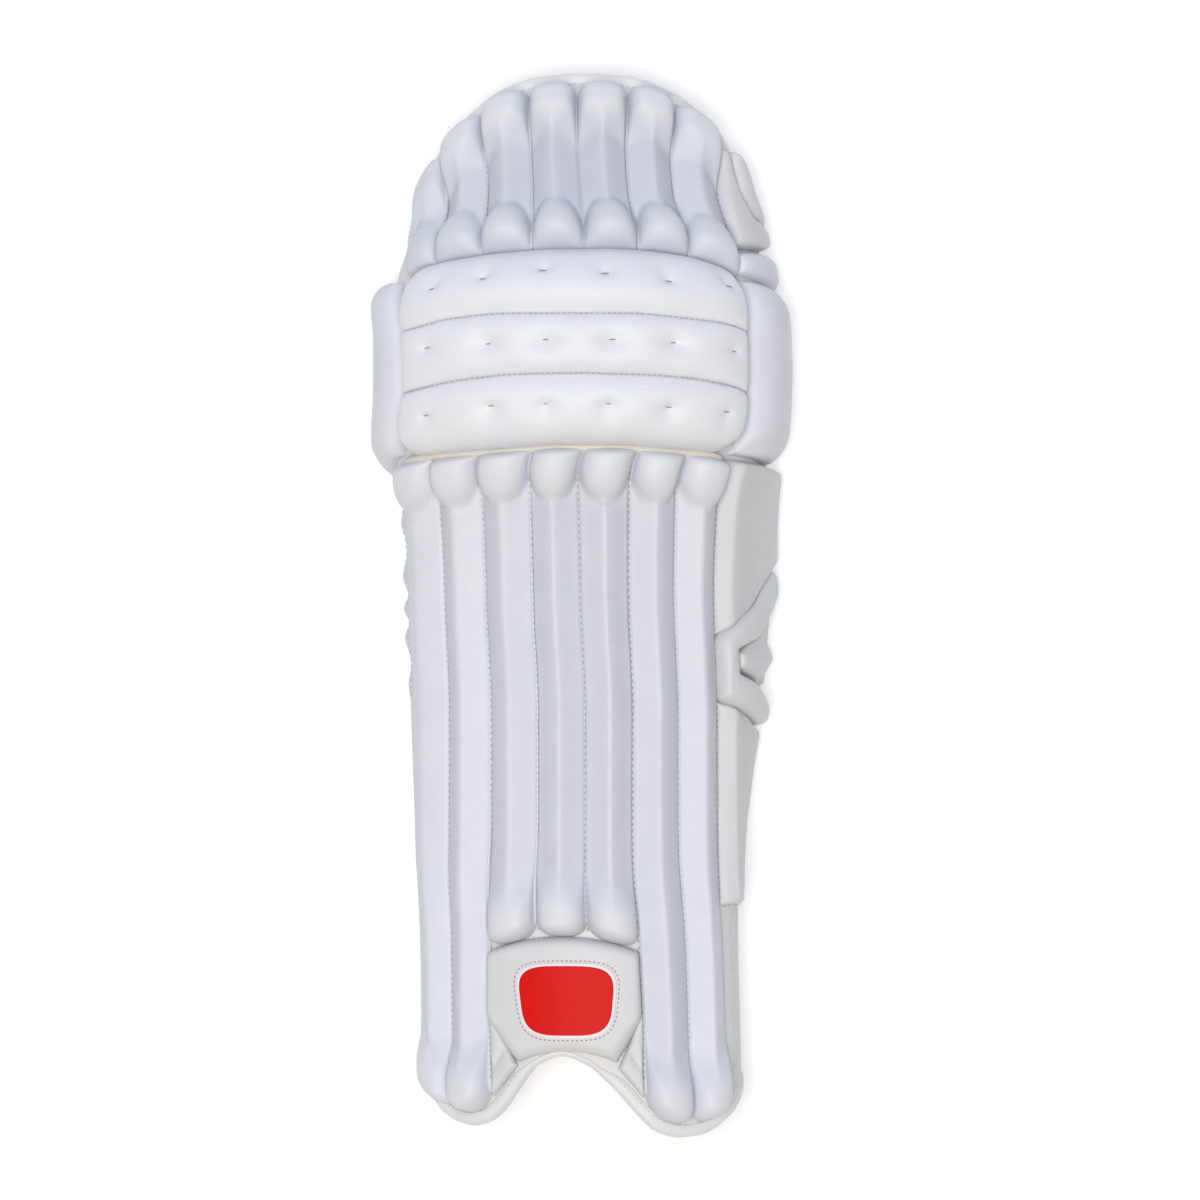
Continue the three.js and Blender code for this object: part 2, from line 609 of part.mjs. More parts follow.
// Binding: a closed band on the front of the backing, all round its rim
const binding_solid = () => {
  const share_in = binding_width / pad_length / (rim_top.at(-1).along - rim_bottom[0].along) * binding_ease;
  const rim = [];
  for (const across of backing_columns) rim.push([across, 0]);
  for (let j = 1; j < backing_rows; j += 1) rim.push([outer_foot, j / backing_rows]);
  for (const across of backing_columns.slice().reverse()) rim.push([across, 1]);
  for (let j = backing_rows - 1; j > 0; j -= 1) rim.push([-1, j / backing_rows]);
  const points = [];
  const rings = rim.map(([across, share]) => {
    const [c0, along0] = backing_place(across, share);
    const wall_share = (foot, hip) => (
      binding_width / backing_point(foot, along0).distanceTo(backing_point(hip, along0))
    );
    const innermost = -1 + wall_share(-1, 0);
    const outermost = outer_foot - wall_share(outer_foot, cane_count);
    const inner_across = Math.min(Math.max(across, innermost), outermost);
    const inner_share = Math.min(Math.max(share, share_in), 1 - share_in);
    const [c1, along1] = backing_place(inner_across, inner_share);
    const ring = [[c0, along0], [c1, along1]].flatMap(([c, along]) => (
      [raised_point(c, along, seat_gap), raised_point(c, along, seat_gap + binding_thickness)]
    ));
    for (const point of ring) point.z = Math.max(point.z, seat_gap);
    const base = points.length;
    points.push(ring[0], ring[2], ring[3], ring[1]);
    return base;
  });
  const faces = [];
  rings.forEach((ring, k) => {
    const next = rings[(k + 1) % rings.length];
    for (let i = 0; i < 4; i += 1) {
      const j = (i + 1) % 4;
      faces.push([ring + i, ring + j, next + j], [ring + i, next + j, next + i]);
    }
  });
  return solid_from(points, faces);
};

// The instep panel and the blank plate on it
const instep_read = (column, b) => {
  const last = instep_rows.length - 1;
  return smooth_column(instep_rows.map((row, i) => ({ ...row, at: i / last })), column, b);
};
const instep_place = (a, b) => {
  const level = instep_read('along', b);
  const from = seam_across(instep_first, level) + instep_read('inner', b);
  const to = seam_across(instep_last + 1, level) - instep_read('outer', b);
  const bow = mix(instep_top_arch, 0, Math.min(b * 2, 1)) + mix(0, instep_foot_arch, Math.max(b * 2 - 1, 0));
  const share = inset(a, from, to, level);
  const ends = mix(-half_gap, half_gap, b);
  return [mix(from, to, share), level + bow * (1 - (2 * a - 1) ** 2) + ends - instep_foot_drop * b];
};
const instep_stations = [0, 0.05, 0.25, 0.5, 0.72, 0.94, 1];
const instep_across = [0, 0.06, 0.2, 0.4, 0.6, 0.8, 0.94, 1];
const instep_under = [0, 0.2, 0.4, 0.6, 0.8, 1];
const instep_solid = () => {
  const rise = (a, b) => seam_rise + (instep_rise - seam_rise) * pillow(a) * pillow(b);
  return padded_solid(instep_stations, instep_across, instep_under, instep_place, rise);
};

const badge_middle = { across: 3.58, along: 0.126 };
const badge_seat_gap = 0.4;
const badge_squareness = 0.6; // power of the outline's sine and cosine
const badge_flare = 0.14; // how much wider the plate is above than below
const badge_sides = 16;
const badge_rings = [0.55, 1]; // shares of the plate's size
const badge_solid = () => {
  const cane_width = backing_point(badge_middle.across + 0.5, badge_middle.along).distanceTo(
    backing_point(badge_middle.across - 0.5, badge_middle.along));
  const power = (value) => Math.sign(value) * Math.abs(value) ** badge_squareness;
  const points = [];
  const faces = [];
  const face_of = (rise) => {
    const middle = points.push(raised_point(badge_middle.across, badge_middle.along, rise)) - 1;
    for (const ring of badge_rings) {
      for (let i = 0; i < badge_sides; i += 1) {
        const turn = (i / badge_sides) * Math.PI * 2;
        const y = ring * power(Math.sin(turn)) * badge_length / 2;
        const x = ring * power(Math.cos(turn)) * (badge_width / 2) * (1 + (badge_flare * y) / badge_length);
        const across = badge_middle.across + x / cane_width;
        points.push(raised_point(across, badge_middle.along + y / pad_length, rise));
      }
    }
    return middle;
  };
  const low = face_of(instep_rise + badge_seat_gap);
  const high = face_of(instep_rise + badge_seat_gap + badge_thickness);
  for (let i = 0; i < badge_sides; i += 1) {
    const j = (i + 1) % badge_sides;
    for (const [middle, flip] of [[low, true], [high, false]]) {
      const fan = [[middle, middle + 1 + i, middle + 1 + j]];
      const [a, b] = [middle + 1 + i, middle + 1 + j];
      fan.push([a, a + badge_sides, b + badge_sides], [a, b + badge_sides, b]);
      faces.push(...(flip ? fan.map(([p, q, r]) => [p, r, q]) : fan));
    }
    const [a, b] = [low + 1 + badge_sides + i, low + 1 + badge_sides + j];
    const [c, d] = [high + 1 + badge_sides + j, high + 1 + badge_sides + i];
    faces.push([a, b, c], [a, c, d]);
  }
  return solid_from(points, faces);
};

// A plain strap, straight across from the inside of one side wall to the inside of the other
const halvings = 24; // of the wall's depth, to find where a strap meets it
const strap_solid = (along) => {
  const points = [];
  const reach = (side, share, height) => {
    let shallow = turn_end;
    let deep = 1;
    const behind = -backing_wall - strap_end_gap;
    const spot = (depth) => raised_point(side < 0 ? -depth : cane_count + depth, share, behind);
    for (let i = 0; i < halvings; i += 1) {
      const middle = (shallow + deep) / 2;
      if (spot(middle).z > height) shallow = middle;
      else deep = middle;
    }
    return spot(deep).x;
  };
  for (const share of [along - strap_width / 2 / pad_length, along + strap_width / 2 / pad_length]) {
    for (const height of [strap_floor_clearance, strap_floor_clearance + strap_thickness]) {
      points.push(new THREE.Vector3(reach(-1, share, height), share * pad_length, height));
      points.push(new THREE.Vector3(reach(1, share, height), share * pad_length, height));
    }
  }
  const quads = [[0, 1, 3, 2], [4, 6, 7, 5], [0, 4, 5, 1], [2, 3, 7, 6], [0, 2, 6, 4], [1, 5, 7, 3]];
  return solid_from(points, quads.flatMap(([a, b, c, d]) => [[a, b, c], [a, c, d]]));
};
const straps = { strap_thigh: 0.735, strap_calf: 0.520, strap_ankle: 0.170 };

const white_leather = () => new THREE.MeshStandardMaterial({ color: '#f1f2f6', roughness: 0.5, metalness: 0 });
const cream_leather = () => new THREE.MeshStandardMaterial({ color: '#f0eee6', roughness: 0.55, metalness: 0 });
const red_plate = () => new THREE.MeshStandardMaterial({ color: '#e3262e', roughness: 0.3, metalness: 0 });
const white_webbing = () => new THREE.MeshStandardMaterial({ color: '#eceae4', roughness: 0.85, metalness: 0 });

const pad = new THREE.Group();
const add = (name, geometry, material) => {
  geometry.computeVertexNormals();
  const mesh = new THREE.Mesh(geometry, material);
  mesh.name = name;
  pad.add(mesh);
};

add('backing_shell', backing_solid(), cream_leather());
add('edge_binding', binding_solid(), white_leather());

for (let number = 0; number < cane_count; number += 1) {
  const roll = {
    bottom: above_knee, top: under_rim, low_profile: knuckle_profile, low_length: knuckle_length,
    low_rise: knuckle_rise, high_profile: bulb_profile, high_length: roll_tip_length, high_rise: bulb_rise,
    side: side_rim, fullness: roll_fullness,
  };
  add(`thigh_roll_${number + 1}`, cane_solid(number, roll, roll_run_steps), white_leather());
  const ends_on_instep = number >= instep_first && number <= instep_last;
  const cane = {
    bottom: ends_on_instep ? over_instep : over_rim, top: below_knee, low_profile: bulb_profile,
    low_length: bulb_length, low_rise: bulb_rise, high_profile: knuckle_profile,
    high_length: knuckle_length, high_rise: knuckle_rise, side: 0, fullness: cane_fullness,
  };
  add(`shin_cane_${number + 1}`, cane_solid(number, cane, plain_run_steps), white_leather());
}

add('knee_roll_lower', bolster_solid('foot', 'lower'), white_leather());
add('knee_roll_middle', bolster_solid('lower', 'upper'), white_leather());
add('knee_roll_upper', bolster_solid('upper', 'top'), white_leather());

const wall_panel = (name, steps, top, options) => (
  add(name, panel_solid(panels[name], wall_across, steps, top, options), white_leather())
);
const small_panel = (name, steps, top, options) => (
  add(name, panel_solid(panels[name], panel_across, steps, top, options), white_leather())
);
wall_panel('knee_wing_inner', 6, knee_wing_rise);
wall_panel('knee_wing_outer', 6, knee_wing_rise, { bed: seat_gap });
wall_panel('thigh_wing_puff', 3, thigh_wing_rise);
small_panel('thigh_wing_front', 4, thigh_wing_rise);
small_panel('thigh_wing_side', 4, thigh_wing_rise, { bed: seat_gap });
wall_panel('shin_wing_upper', 6, shin_wing_rise);
small_panel('shin_wing_bend', 9, shin_wing_rise, { bed: bend_seat_gap, fade: () => 1 });
small_panel('shin_wing_pocket', 4, pocket_rise, { bed: pocket_seat_gap, fade: (b) => Math.sqrt(b) });
wall_panel('shin_wing_lower', 7, lower_wing_rise);
small_panel('instep_gusset_inner', 3, gusset_rise);
small_panel('instep_gusset_outer', 3, gusset_rise);
add('instep_panel', instep_solid(), white_leather());
add('badge_plate', badge_solid(), red_plate());

for (const [name, along] of Object.entries(straps)) add(name, strap_solid(along), white_webbing());

// The origin is on the floor, at the middle of the pad's length and width.
const middle = new THREE.Box3().setFromObject(pad, true).getCenter(new THREE.Vector3());
for (const mesh of pad.children) mesh.position.set(-middle.x, -middle.y, 0);

export default pad;
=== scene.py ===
"""Cricket batting pad for the left leg: its leather covers, padding, stitching, straps and studio.

Metres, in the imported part's frame: +Z out of the front of the pad, +Y up the leg, +X to its outer side.
"""

import math

import bmesh
import bpy
import numpy as np
from bpy.props import FloatProperty, FloatVectorProperty, IntProperty, PointerProperty
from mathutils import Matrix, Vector


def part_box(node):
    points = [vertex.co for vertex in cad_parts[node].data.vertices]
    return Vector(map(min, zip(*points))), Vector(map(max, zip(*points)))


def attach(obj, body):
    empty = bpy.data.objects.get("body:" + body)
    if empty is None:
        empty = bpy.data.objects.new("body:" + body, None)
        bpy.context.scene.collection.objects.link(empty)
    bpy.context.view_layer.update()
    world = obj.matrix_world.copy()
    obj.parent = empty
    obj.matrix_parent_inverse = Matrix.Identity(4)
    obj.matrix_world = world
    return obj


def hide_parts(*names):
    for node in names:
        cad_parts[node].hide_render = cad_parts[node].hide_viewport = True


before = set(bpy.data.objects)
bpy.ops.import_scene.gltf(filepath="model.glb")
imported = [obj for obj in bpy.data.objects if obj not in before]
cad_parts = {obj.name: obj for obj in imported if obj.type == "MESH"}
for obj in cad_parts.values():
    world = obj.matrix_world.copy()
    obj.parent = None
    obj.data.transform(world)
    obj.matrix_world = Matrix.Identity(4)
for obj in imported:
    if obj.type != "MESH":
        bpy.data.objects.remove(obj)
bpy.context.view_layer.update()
bpy.ops.object.select_all(action="DESELECT")

bl_info = {
    "name": "Batting Pad",
    "version": (1, 0, 0),
    "blender": (4, 5, 0),
    "location": "View3D > Sidebar > Batting Pad",
    "description": "Builds a worn-on-the-leg batting pad round its packed solids",
    "category": "Object",
}

MM = 0.001


def linear(hex_colour):
    """An sRGB hex colour as linear red, green, blue and alpha."""
    channels = [int(hex_colour[i:i + 2], 16) / 255 for i in (1, 3, 5)]
    return [c / 12.92 if c <= 0.04045 else ((c + 0.055) / 1.055) ** 2.4 for c in channels] + [1.0]


# Sizes and colours that a user would change

class PadSettings(bpy.types.PropertyGroup):
    """Padding heights, stitching and colours of the pad"""

    cane_rise: FloatProperty(
        name="Cane rise", description="Height of a cane's ridge off the backing",
        default=14 * MM, min=6 * MM, max=24 * MM, unit="LENGTH")
    knuckle_rise: FloatProperty(
        name="Knuckle rise", description="Height of the domed ends beside the knee roll",
        default=22 * MM, min=10 * MM, max=32 * MM, unit="LENGTH")
    bulb_rise: FloatProperty(
        name="Bulb rise", description="Height of the rounded far ends of canes and thigh rolls",
        default=19 * MM, min=8 * MM, max=28 * MM, unit="LENGTH")
    bolster_rise: FloatProperty(
        name="Bolster rise", description="Height of the three knee bolsters off the backing",
        default=31 * MM, min=15 * MM, max=40 * MM, unit="LENGTH")
    stitch_pitch: FloatProperty(
        name="Stitch pitch", description="Distance between stitches beside the canes and rolls",
        default=4.2 * MM, min=2 * MM, max=10 * MM, unit="LENGTH")
    inflate_frames: IntProperty(
        name="Inflation frames", description="Cloth frames for each filled cover",
        default=12, min=2, max=60)
    leather_colour: FloatVectorProperty(
        name="Leather", description="Tint that all the white synthetic leathers are multiplied by",
        default=(1.0, 1.0, 1.0), size=3, subtype="COLOR", min=0, max=1)
    badge_colour: FloatVectorProperty(
        name="Badge", description="Colour of the blank plate on the instep",
        default=linear("#e3150f")[:3], size=3, subtype="COLOR", min=0, max=1)


def settings():
    """The pad's sizes and colours as the user has set them."""
    return bpy.context.scene.pad_settings


# The surface that everything is sewn on

PAD_LENGTH = 689 * MM
PAD_WIDTH = 273 * MM
PAD_HEIGHT = 100 * MM
ARCH_RATIO = 2.73
BACKING_WALL = 8 * MM
SEAM_RISE = 3 * MM
SEAT_GAP = 0.9 * MM
CANES = 7
OUTER_FOOT = CANES + 1
TURN_SHARE = 0.25
TURN_END = 0.45


def table(columns, *rows):
    """A table as one array for each named column."""
    return {name: np.array(values, float) for name, values in zip(columns.split(), zip(*rows))}


SECTIONS = table(
    "at crown height radius inner outer foot_inner foot_outer",
    (0.000, 0.034, 0.92, 0.505, 52.5, 37.0, 0.391, 0.370),
    (0.076, 0.034, 0.89, 0.505, 53.5, 36.0, 0.391, 0.368),
    (0.173, 0.030, 0.87, 0.505, 53.5, 35.5, 0.393, 0.366),
    (0.267, 0.023, 0.88, 0.505, 56.0, 35.0, 0.402, 0.364),
    (0.340, 0.020, 0.90, 0.505, 56.0, 35.2, 0.409, 0.378),
    (0.408, 0.017, 0.92, 0.505, 56.0, 35.5, 0.416, 0.399),
    (0.503, 0.012, 0.95, 0.505, 57.0, 35.0, 0.427, 0.424),
    (0.575, 0.009, 0.98, 0.517, 56.0, 35.2, 0.430, 0.428),
    (0.625, 0.008, 1.00, 0.565, 50.5, 34.0, 0.440, 0.433),
    (0.670, 0.008, 1.02, 0.630, 42.5, 34.5, 0.448, 0.447),
    (0.720, 0.008, 1.03, 0.645, 40.0, 34.0, 0.448, 0.453),
    (0.775, 0.008, 1.02, 0.635, 43.0, 34.5, 0.429, 0.446),
    (0.810, 0.010, 0.98, 0.580, 49.0, 37.0, 0.424, 0.430),
    (0.845, 0.012, 0.905, 0.525, 52.5, 38.5, 0.418, 0.414),
    (0.890, 0.010, 0.785, 0.505, 53.0, 36.5, 0.403, 0.396),
    (0.930, 0.007, 0.68, 0.505, 53.0, 36.0, 0.391, 0.374),
    (1.000, 0.007, 0.50, 0.505, 53.0, 36.0, 0.376, 0.345),
)
SEAMS = table(
    "at s1 s2 s3 s4 s5 s6",
    (0.10, 0.85, 1.82, 2.90, 3.98, 5.12, 6.12),
    (0.17, 0.87, 1.88, 2.95, 4.02, 5.09, 6.12),
    (0.28, 1.06, 2.13, 3.16, 4.13, 5.10, 6.09),
    (0.50, 1.14, 2.17, 3.19, 4.16, 5.13, 6.09),
    (0.58, 1.10, 2.13, 3.15, 4.11, 5.10, 6.06),
    (0.65, 0.94, 1.94, 2.98, 3.96, 4.99, 5.96),
    (0.83, 0.86, 1.88, 2.91, 3.93, 4.97, 5.97),
    (0.90, 1.00, 1.97, 2.98, 3.96, 4.97, 5.94),
)
RIM_TOP = table(
    "at along",
    (-1.00, 0.832), (-0.50, 0.856), (0.00, 0.885), (0.50, 0.917), (1.00, 0.942), (1.55, 0.964),
    (2.30, 0.986), (3.10, 0.997), (4.00, 1.000), (5.00, 0.998), (5.90, 0.986), (6.70, 0.965),
    (7.00, 0.954), (7.25, 0.940), (7.50, 0.920), (7.75, 0.890), (8.00, 0.842),
)
RIM_BOTTOM = table(
    "at along",
    (-1.00, 0.060), (-0.40, 0.050), (0.00, 0.038), (0.35, 0.023), (0.80, 0.013), (1.20, 0.010),
    (1.55, 0.013), (1.93, 0.024), (2.35, 0.046), (2.80, 0.068), (3.40, 0.077), (3.95, 0.069),
    (4.50, 0.048), (5.00, 0.023), (5.40, 0.006), (5.90, 0.000), (6.40, 0.002), (7.00, 0.015),
    (7.30, 0.036), (8.00, 0.056),
)
KNEE_LINES = table(
    "at foot lower upper top",
    (0.0, 0.636, 0.697, 0.755, 0.806),
    (0.5, 0.640, 0.701, 0.758, 0.815),
    (1.5, 0.644, 0.710, 0.768, 0.824),
    (2.5, 0.647, 0.715, 0.772, 0.830),
    (3.5, 0.650, 0.716, 0.772, 0.833),
    (4.5, 0.650, 0.715, 0.772, 0.833),
    (5.5, 0.647, 0.712, 0.768, 0.829),
    (6.5, 0.643, 0.704, 0.761, 0.818),
    (7.0, 0.637, 0.697, 0.753, 0.807),
)
BOLSTER_ENDS = table(
    "at inner outer",
    (0.635, 0.50, 0.45),
    (0.660, 0.12, 0.12),
    (0.700, 0.05, 0.05),
    (0.755, 0.10, 0.05),
    (0.780, 0.28, 0.08),
    (0.810, 0.60, 0.22),
)
ROLL_FULLNESS = (0.68, 0.88, 1, 1, 1, 1, 0.92)
CANE_FULLNESS = (0.9, 1, 1, 1, 1, 1, 1)
ROLL_SIDE_RIM = 0.14


def mix(a, b, share):
    return a + (b - a) * share


def smooth_column(rows, column, places):
    """A column of a table at any places, by a monotone cubic."""
    x = rows["at"]
    y = rows[column]
    places = np.clip(np.asarray(places, float), x[0], x[-1])
    slope = np.diff(y) / np.diff(x)
    before, after = slope[:-1], slope[1:]
    both = before * after
    lean = np.empty_like(y)
    lean[0], lean[-1] = slope[0], slope[-1]
    lean[1:-1] = np.where(both <= 0, 0, 2 * both / np.where(both <= 0, 1, before + after))
    i = np.clip(np.searchsorted(x, places, side="right") - 1, 0, len(x) - 2)
    span = x[i + 1] - x[i]
    t = (places - x[i]) / span
    start = (1 + 2 * t) * (1 - t) ** 2 * y[i] + t * (1 - t) ** 2 * span * lean[i]
    return start + t * t * (3 - 2 * t) * y[i + 1] - t * t * (1 - t) * span * lean[i + 1]


def smoothstep(low, high, value):
    """An even step from 0 at low to 1 at high."""
    t = np.clip((value - low) / (high - low), 0, 1)
    return t * t * (3 - 2 * t)


def loose_points(across, along):
    """Front of the backing before it is centred in the frame."""
    across, along = np.broadcast_arrays(np.asarray(across, float), np.asarray(along, float))
    read = {name: smooth_column(SECTIONS, name, along) for name in SECTIONS if name != "at"}
    crown_x = read["crown"] * PAD_WIDTH
    crown_z = read["height"] * PAD_HEIGHT
    radius_x = read["radius"] * PAD_WIDTH
    radius_z = read["radius"] * ARCH_RATIO * PAD_HEIGHT
    inner, outer = -np.radians(read["inner"]), np.radians(read["outer"])
    angle = mix(inner, outer, np.clip(across / CANES, 0, 1))
    x = crown_x + radius_x * np.sin(angle)
    z = crown_z - radius_z * (1 - np.cos(angle))
    depth = np.maximum(-across, across - CANES)
    inside = across < 0
    foot_x = np.where(inside, -read["foot_inner"], read["foot_outer"]) * PAD_WIDTH
    side = np.where(inside, -1, 1)
    turn = TURN_SHARE * np.hypot(foot_x - x, z)
    head_x, head_z = side * radius_x * np.cos(angle), -radius_z * np.abs(np.sin(angle))
    size = np.hypot(head_x, head_z)
    corner_x, corner_z = x + head_x / size * turn, z + head_z / size * turn
    rest = np.hypot(foot_x - corner_x, corner_z)
    turned_x = corner_x + (foot_x - corner_x) / rest * turn
    turned_z = corner_z - corner_z / rest * turn
    t = np.clip(depth / TURN_END, 0, 1)
    bend_x = x * (1 - t) ** 2 + corner_x * 2 * t * (1 - t) + turned_x * t * t
    bend_z = z * (1 - t) ** 2 + corner_z * 2 * t * (1 - t) + turned_z * t * t
    drop = np.clip((depth - TURN_END) / (1 - TURN_END), 0, 1)
    on_wall = depth > 0
    x = np.where(on_wall, mix(bend_x, foot_x, drop), x)
    z = np.where(on_wall, mix(bend_z, 0, drop), z)
    return np.stack([x, along * PAD_LENGTH, z], axis=-1)


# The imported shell's own rows and columns, from which frame_shift finds the frame's origin on this surface
SHELL_ROWS = 26
SHELL_WALLS = (0.15, 0.30, 0.45, 0.65, 0.85, 1)


def rim_along(across, share):
    """Place along the pad at a share of the way from its lower rim to its upper one."""
    low = smooth_column(RIM_BOTTOM, "along", across)
    return mix(low, smooth_column(RIM_TOP, "along", across), share)


def frame_shift():
    """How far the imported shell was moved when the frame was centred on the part."""
    columns = np.concatenate([
        -np.array(SHELL_WALLS)[::-1], np.arange(2 * CANES + 1) / 2, CANES + np.array(SHELL_WALLS)])
    across, share = np.meshgrid(columns, np.arange(SHELL_ROWS + 1) / SHELL_ROWS)
    points = loose_points(across, rim_along(across, share)).reshape(-1, 3)
    low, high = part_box("backing_shell")
    middle = (points.min(0) + points.max(0)) / 2
    return np.array([(low.x + high.x) / 2 - middle[0], (low.y + high.y) / 2 - middle[1], 0])


SHIFT = frame_shift()
NORMAL_STEP = 0.004
EDGE_WAVE = 1.8 * MM
EDGE_WAVE_PITCH = 26 * MM


def ripple(value, seed):
    """An uneven wave from -1 to 1 with about one crest for each unit of value."""
    turn = 2 * math.pi * value
    wander = 0.9 * np.sin(turn * 0.37 + seed * 1.7) + 0.6 * np.sin(turn * 0.21 + seed * 2.9)
    return np.sin(turn + wander + seed)


def edge_wave(across, along):
    """How far the worn inner edge beside the shin bulges out."""
    wave = ripple(along * PAD_LENGTH / EDGE_WAVE_PITCH, 0.6) * smoothstep(0.40, 0.44, along)
    return wave * (1 - smoothstep(0.60, 0.63, along)) * smoothstep(0.1, 0.5, -across) * EDGE_WAVE


def surface_points(across, along):
    """Front of the backing in the frame, with its worn inner edge."""
    across, along = np.broadcast_arrays(np.asarray(across, float), np.asarray(along, float))
    points = loose_points(across, along) + SHIFT
    points[..., 0] -= edge_wave(across, along)
    return points


def surface_normals(across, along):
    """Directions straight out of the front of the backing."""
    across, along = np.broadcast_arrays(np.asarray(across, float), np.asarray(along, float))
    west = loose_points(np.maximum(across - NORMAL_STEP, -1), along)
    east = loose_points(np.minimum(across + NORMAL_STEP, OUTER_FOOT), along)
    south = loose_points(across, along - NORMAL_STEP)
    north = loose_points(across, along + NORMAL_STEP)
    normal = np.cross(east - west, north - south)
    return normal / np.linalg.norm(normal, axis=-1, keepdims=True)


def raised_points(across, along, rise, level=False):
    """Points at a height off the backing. Level ones don't lean up or down the leg."""
    rise = np.asarray(rise, float)
    normal = surface_normals(across, along)
    if level:
        normal = normal * (1, 0, 1)
        normal /= np.linalg.norm(normal, axis=-1, keepdims=True)
    return surface_points(across, along) + normal * rise[..., None]


def seam_across(number, along):
    """Place across of a seam between two canes, or of the front's two sides."""
    if number == 0:
        return np.zeros_like(along)
    if number == CANES:
        return np.full_like(along, CANES)
    return smooth_column(SEAMS, f"s{number}", along)


def knee_line(column, across):
    """Place along of one of the four lines that bound the bolsters."""
    return smooth_column(KNEE_LINES, column, across)


# Forms of padding

def dome(a, power=2.0):
    """Height share of a rounded section, fuller at its sides with a higher power."""
    return np.sqrt(np.clip(1 - np.abs(2 * a - 1) ** power, 0, None))


RIDGE_SOFTNESS = 0.06


def roof(a):
    """Height share of two flat facets that meet in a slightly softened ridge."""
    soft = RIDGE_SOFTNESS
    return 1 - (np.hypot(2 * a - 1, soft) - soft) / (math.hypot(1, soft) - soft)


def round_edge(distance, radius):
    """Height share of a rounded edge of that radius, at a distance in from it."""
    return np.sqrt(np.clip(1 - (1 - np.clip(distance / radius, 0, 1)) ** 2, 0, None))


def soft_max(a, b, softness):
    return (a + b + np.sqrt((a - b) ** 2 + softness ** 2)) / 2


def soft_min(a, b, softness):
    return (a + b - np.sqrt((a - b) ** 2 + softness ** 2)) / 2


def unevenness(x, y, pitch, seed):
    """A smooth low swell over a surface, from about -1 to 1."""
    u, v = x / pitch, y / pitch
    swell = np.sin(u * 2.1 + seed) * np.cos(v * 1.7 + 1.3 * seed)
    swell += 0.6 * np.sin(u * 3.7 - v * 2.3 + 2.1 * seed) + 0.4 * np.cos(u * 1.3 + v * 4.1 + 0.7 * seed)
    return swell / 2


# Meshes

def mesh_object(name, points, faces):
    """A smooth mesh in the scene, from its points and the numbers of each face's points."""
    mesh = bpy.data.meshes.new(name)
    mesh.from_pydata([tuple(p) for p in points], [], [tuple(int(v) for v in face) for face in faces])
    mesh.validate()
    mesh.polygons.foreach_set("use_smooth", np.ones(len(mesh.polygons), bool))
    piece = bpy.data.objects.new(name, mesh)
    bpy.context.scene.collection.objects.link(piece)
    return piece


def outward(piece):
    """Turns the faces of a closed mesh outwards."""
    work = bmesh.new()
    work.from_mesh(piece.data)
    bmesh.ops.recalc_face_normals(work, faces=work.faces)
    if work.calc_volume(signed=True) < 0:
        bmesh.ops.reverse_faces(work, faces=work.faces)
    work.to_mesh(piece.data)
    work.free()


def grid_faces(rows, columns):
    """Quads between the points of a grid, which are numbered row by row."""
    index = np.arange(rows * columns).reshape(rows, columns)
    return [(index[j, i], index[j, i + 1], index[j + 1, i + 1], index[j + 1, i])
            for j in range(rows - 1) for i in range(columns - 1)]


def grid_ring(rows, columns):
    """The points on the four sides of a grid, in order round it."""
    index = np.arange(rows * columns).reshape(rows, columns)
    return [*index[0, :], *index[1:, -1], *index[-1, -2::-1], *index[-2:0:-1, 0]]


def sheet_faces(rows, columns):
    """Faces of a closed sheet: a grid, the same grid again under it, and the walls between their sides."""
    faces = grid_faces(rows, columns)
    ring = grid_ring(rows, columns)
    base = rows * columns
    faces += [tuple(base + v for v in quad[::-1]) for quad in faces]
    return faces + [(n, k, base + k, base + n) for k, n in zip(ring, ring[1:] + ring[:1])]


FULL_RISE = 30 * MM


def cover(name, across, along, rise, level=False, bowed=False):
    """A closed padded piece: a fine top over the backing and a plain underside that shares its edge.

    Rows run along the piece and columns from one long edge to the other. The underside is plain strips,
    or a full grid where the ends are bowed.
    """
    rows, columns = across.shape
    top = raised_points(across, along, rise, level)
    if bowed:
        low = raised_points(across, along, np.full(across.shape, SEAT_GAP)).reshape(-1, 3)
        return covered(name, top, low, sheet_faces(rows, columns), rise)
    faces = grid_faces(rows, columns)
    ring = grid_ring(rows, columns)
    base, count = rows * columns, len(ring)
    low = raised_points(across.ravel()[ring], along.ravel()[ring], np.full(count, SEAT_GAP))
    for k in range(count):
        n = (k + 1) % count
        faces.append((ring[n], ring[k], base + k, base + n))
    # The underside is strips between the two long edges, with one face at each end.
    left = [base + count - k for k in range(1, rows - 1)]
    right = [base + columns - 1 + k for k in range(1, rows - 1)]
    bottom_row = [base + k for k in range(columns)]
    top_row = [base + columns + rows - 2 + k for k in range(columns)][::-1]
    for k in range(len(left) - 1):
        faces.append((left[k], left[k + 1], right[k + 1], right[k]))
    faces.append(tuple(bottom_row + [right[0], left[0]])[::-1])
    faces.append(tuple(top_row + [right[-1], left[-1]]))
    return covered(name, top, low, faces, rise)


def covered(name, top, low, faces, rise):
    """The object of a padded piece, which keeps how full it is as an attribute of its points."""
    points = np.concatenate([top.reshape(-1, 3), low])
    piece = mesh_object(name, points, faces)
    outward(piece)
    # The leathers read this fullness to paint shade into the low parts and light onto the full ones.
    fullness = np.concatenate([np.clip(rise / FULL_RISE, 0, 1).ravel(), np.zeros(len(low))])
    piece.data.attributes.new("fullness", "FLOAT", "POINT").data.foreach_set("value", fullness)
    return piece


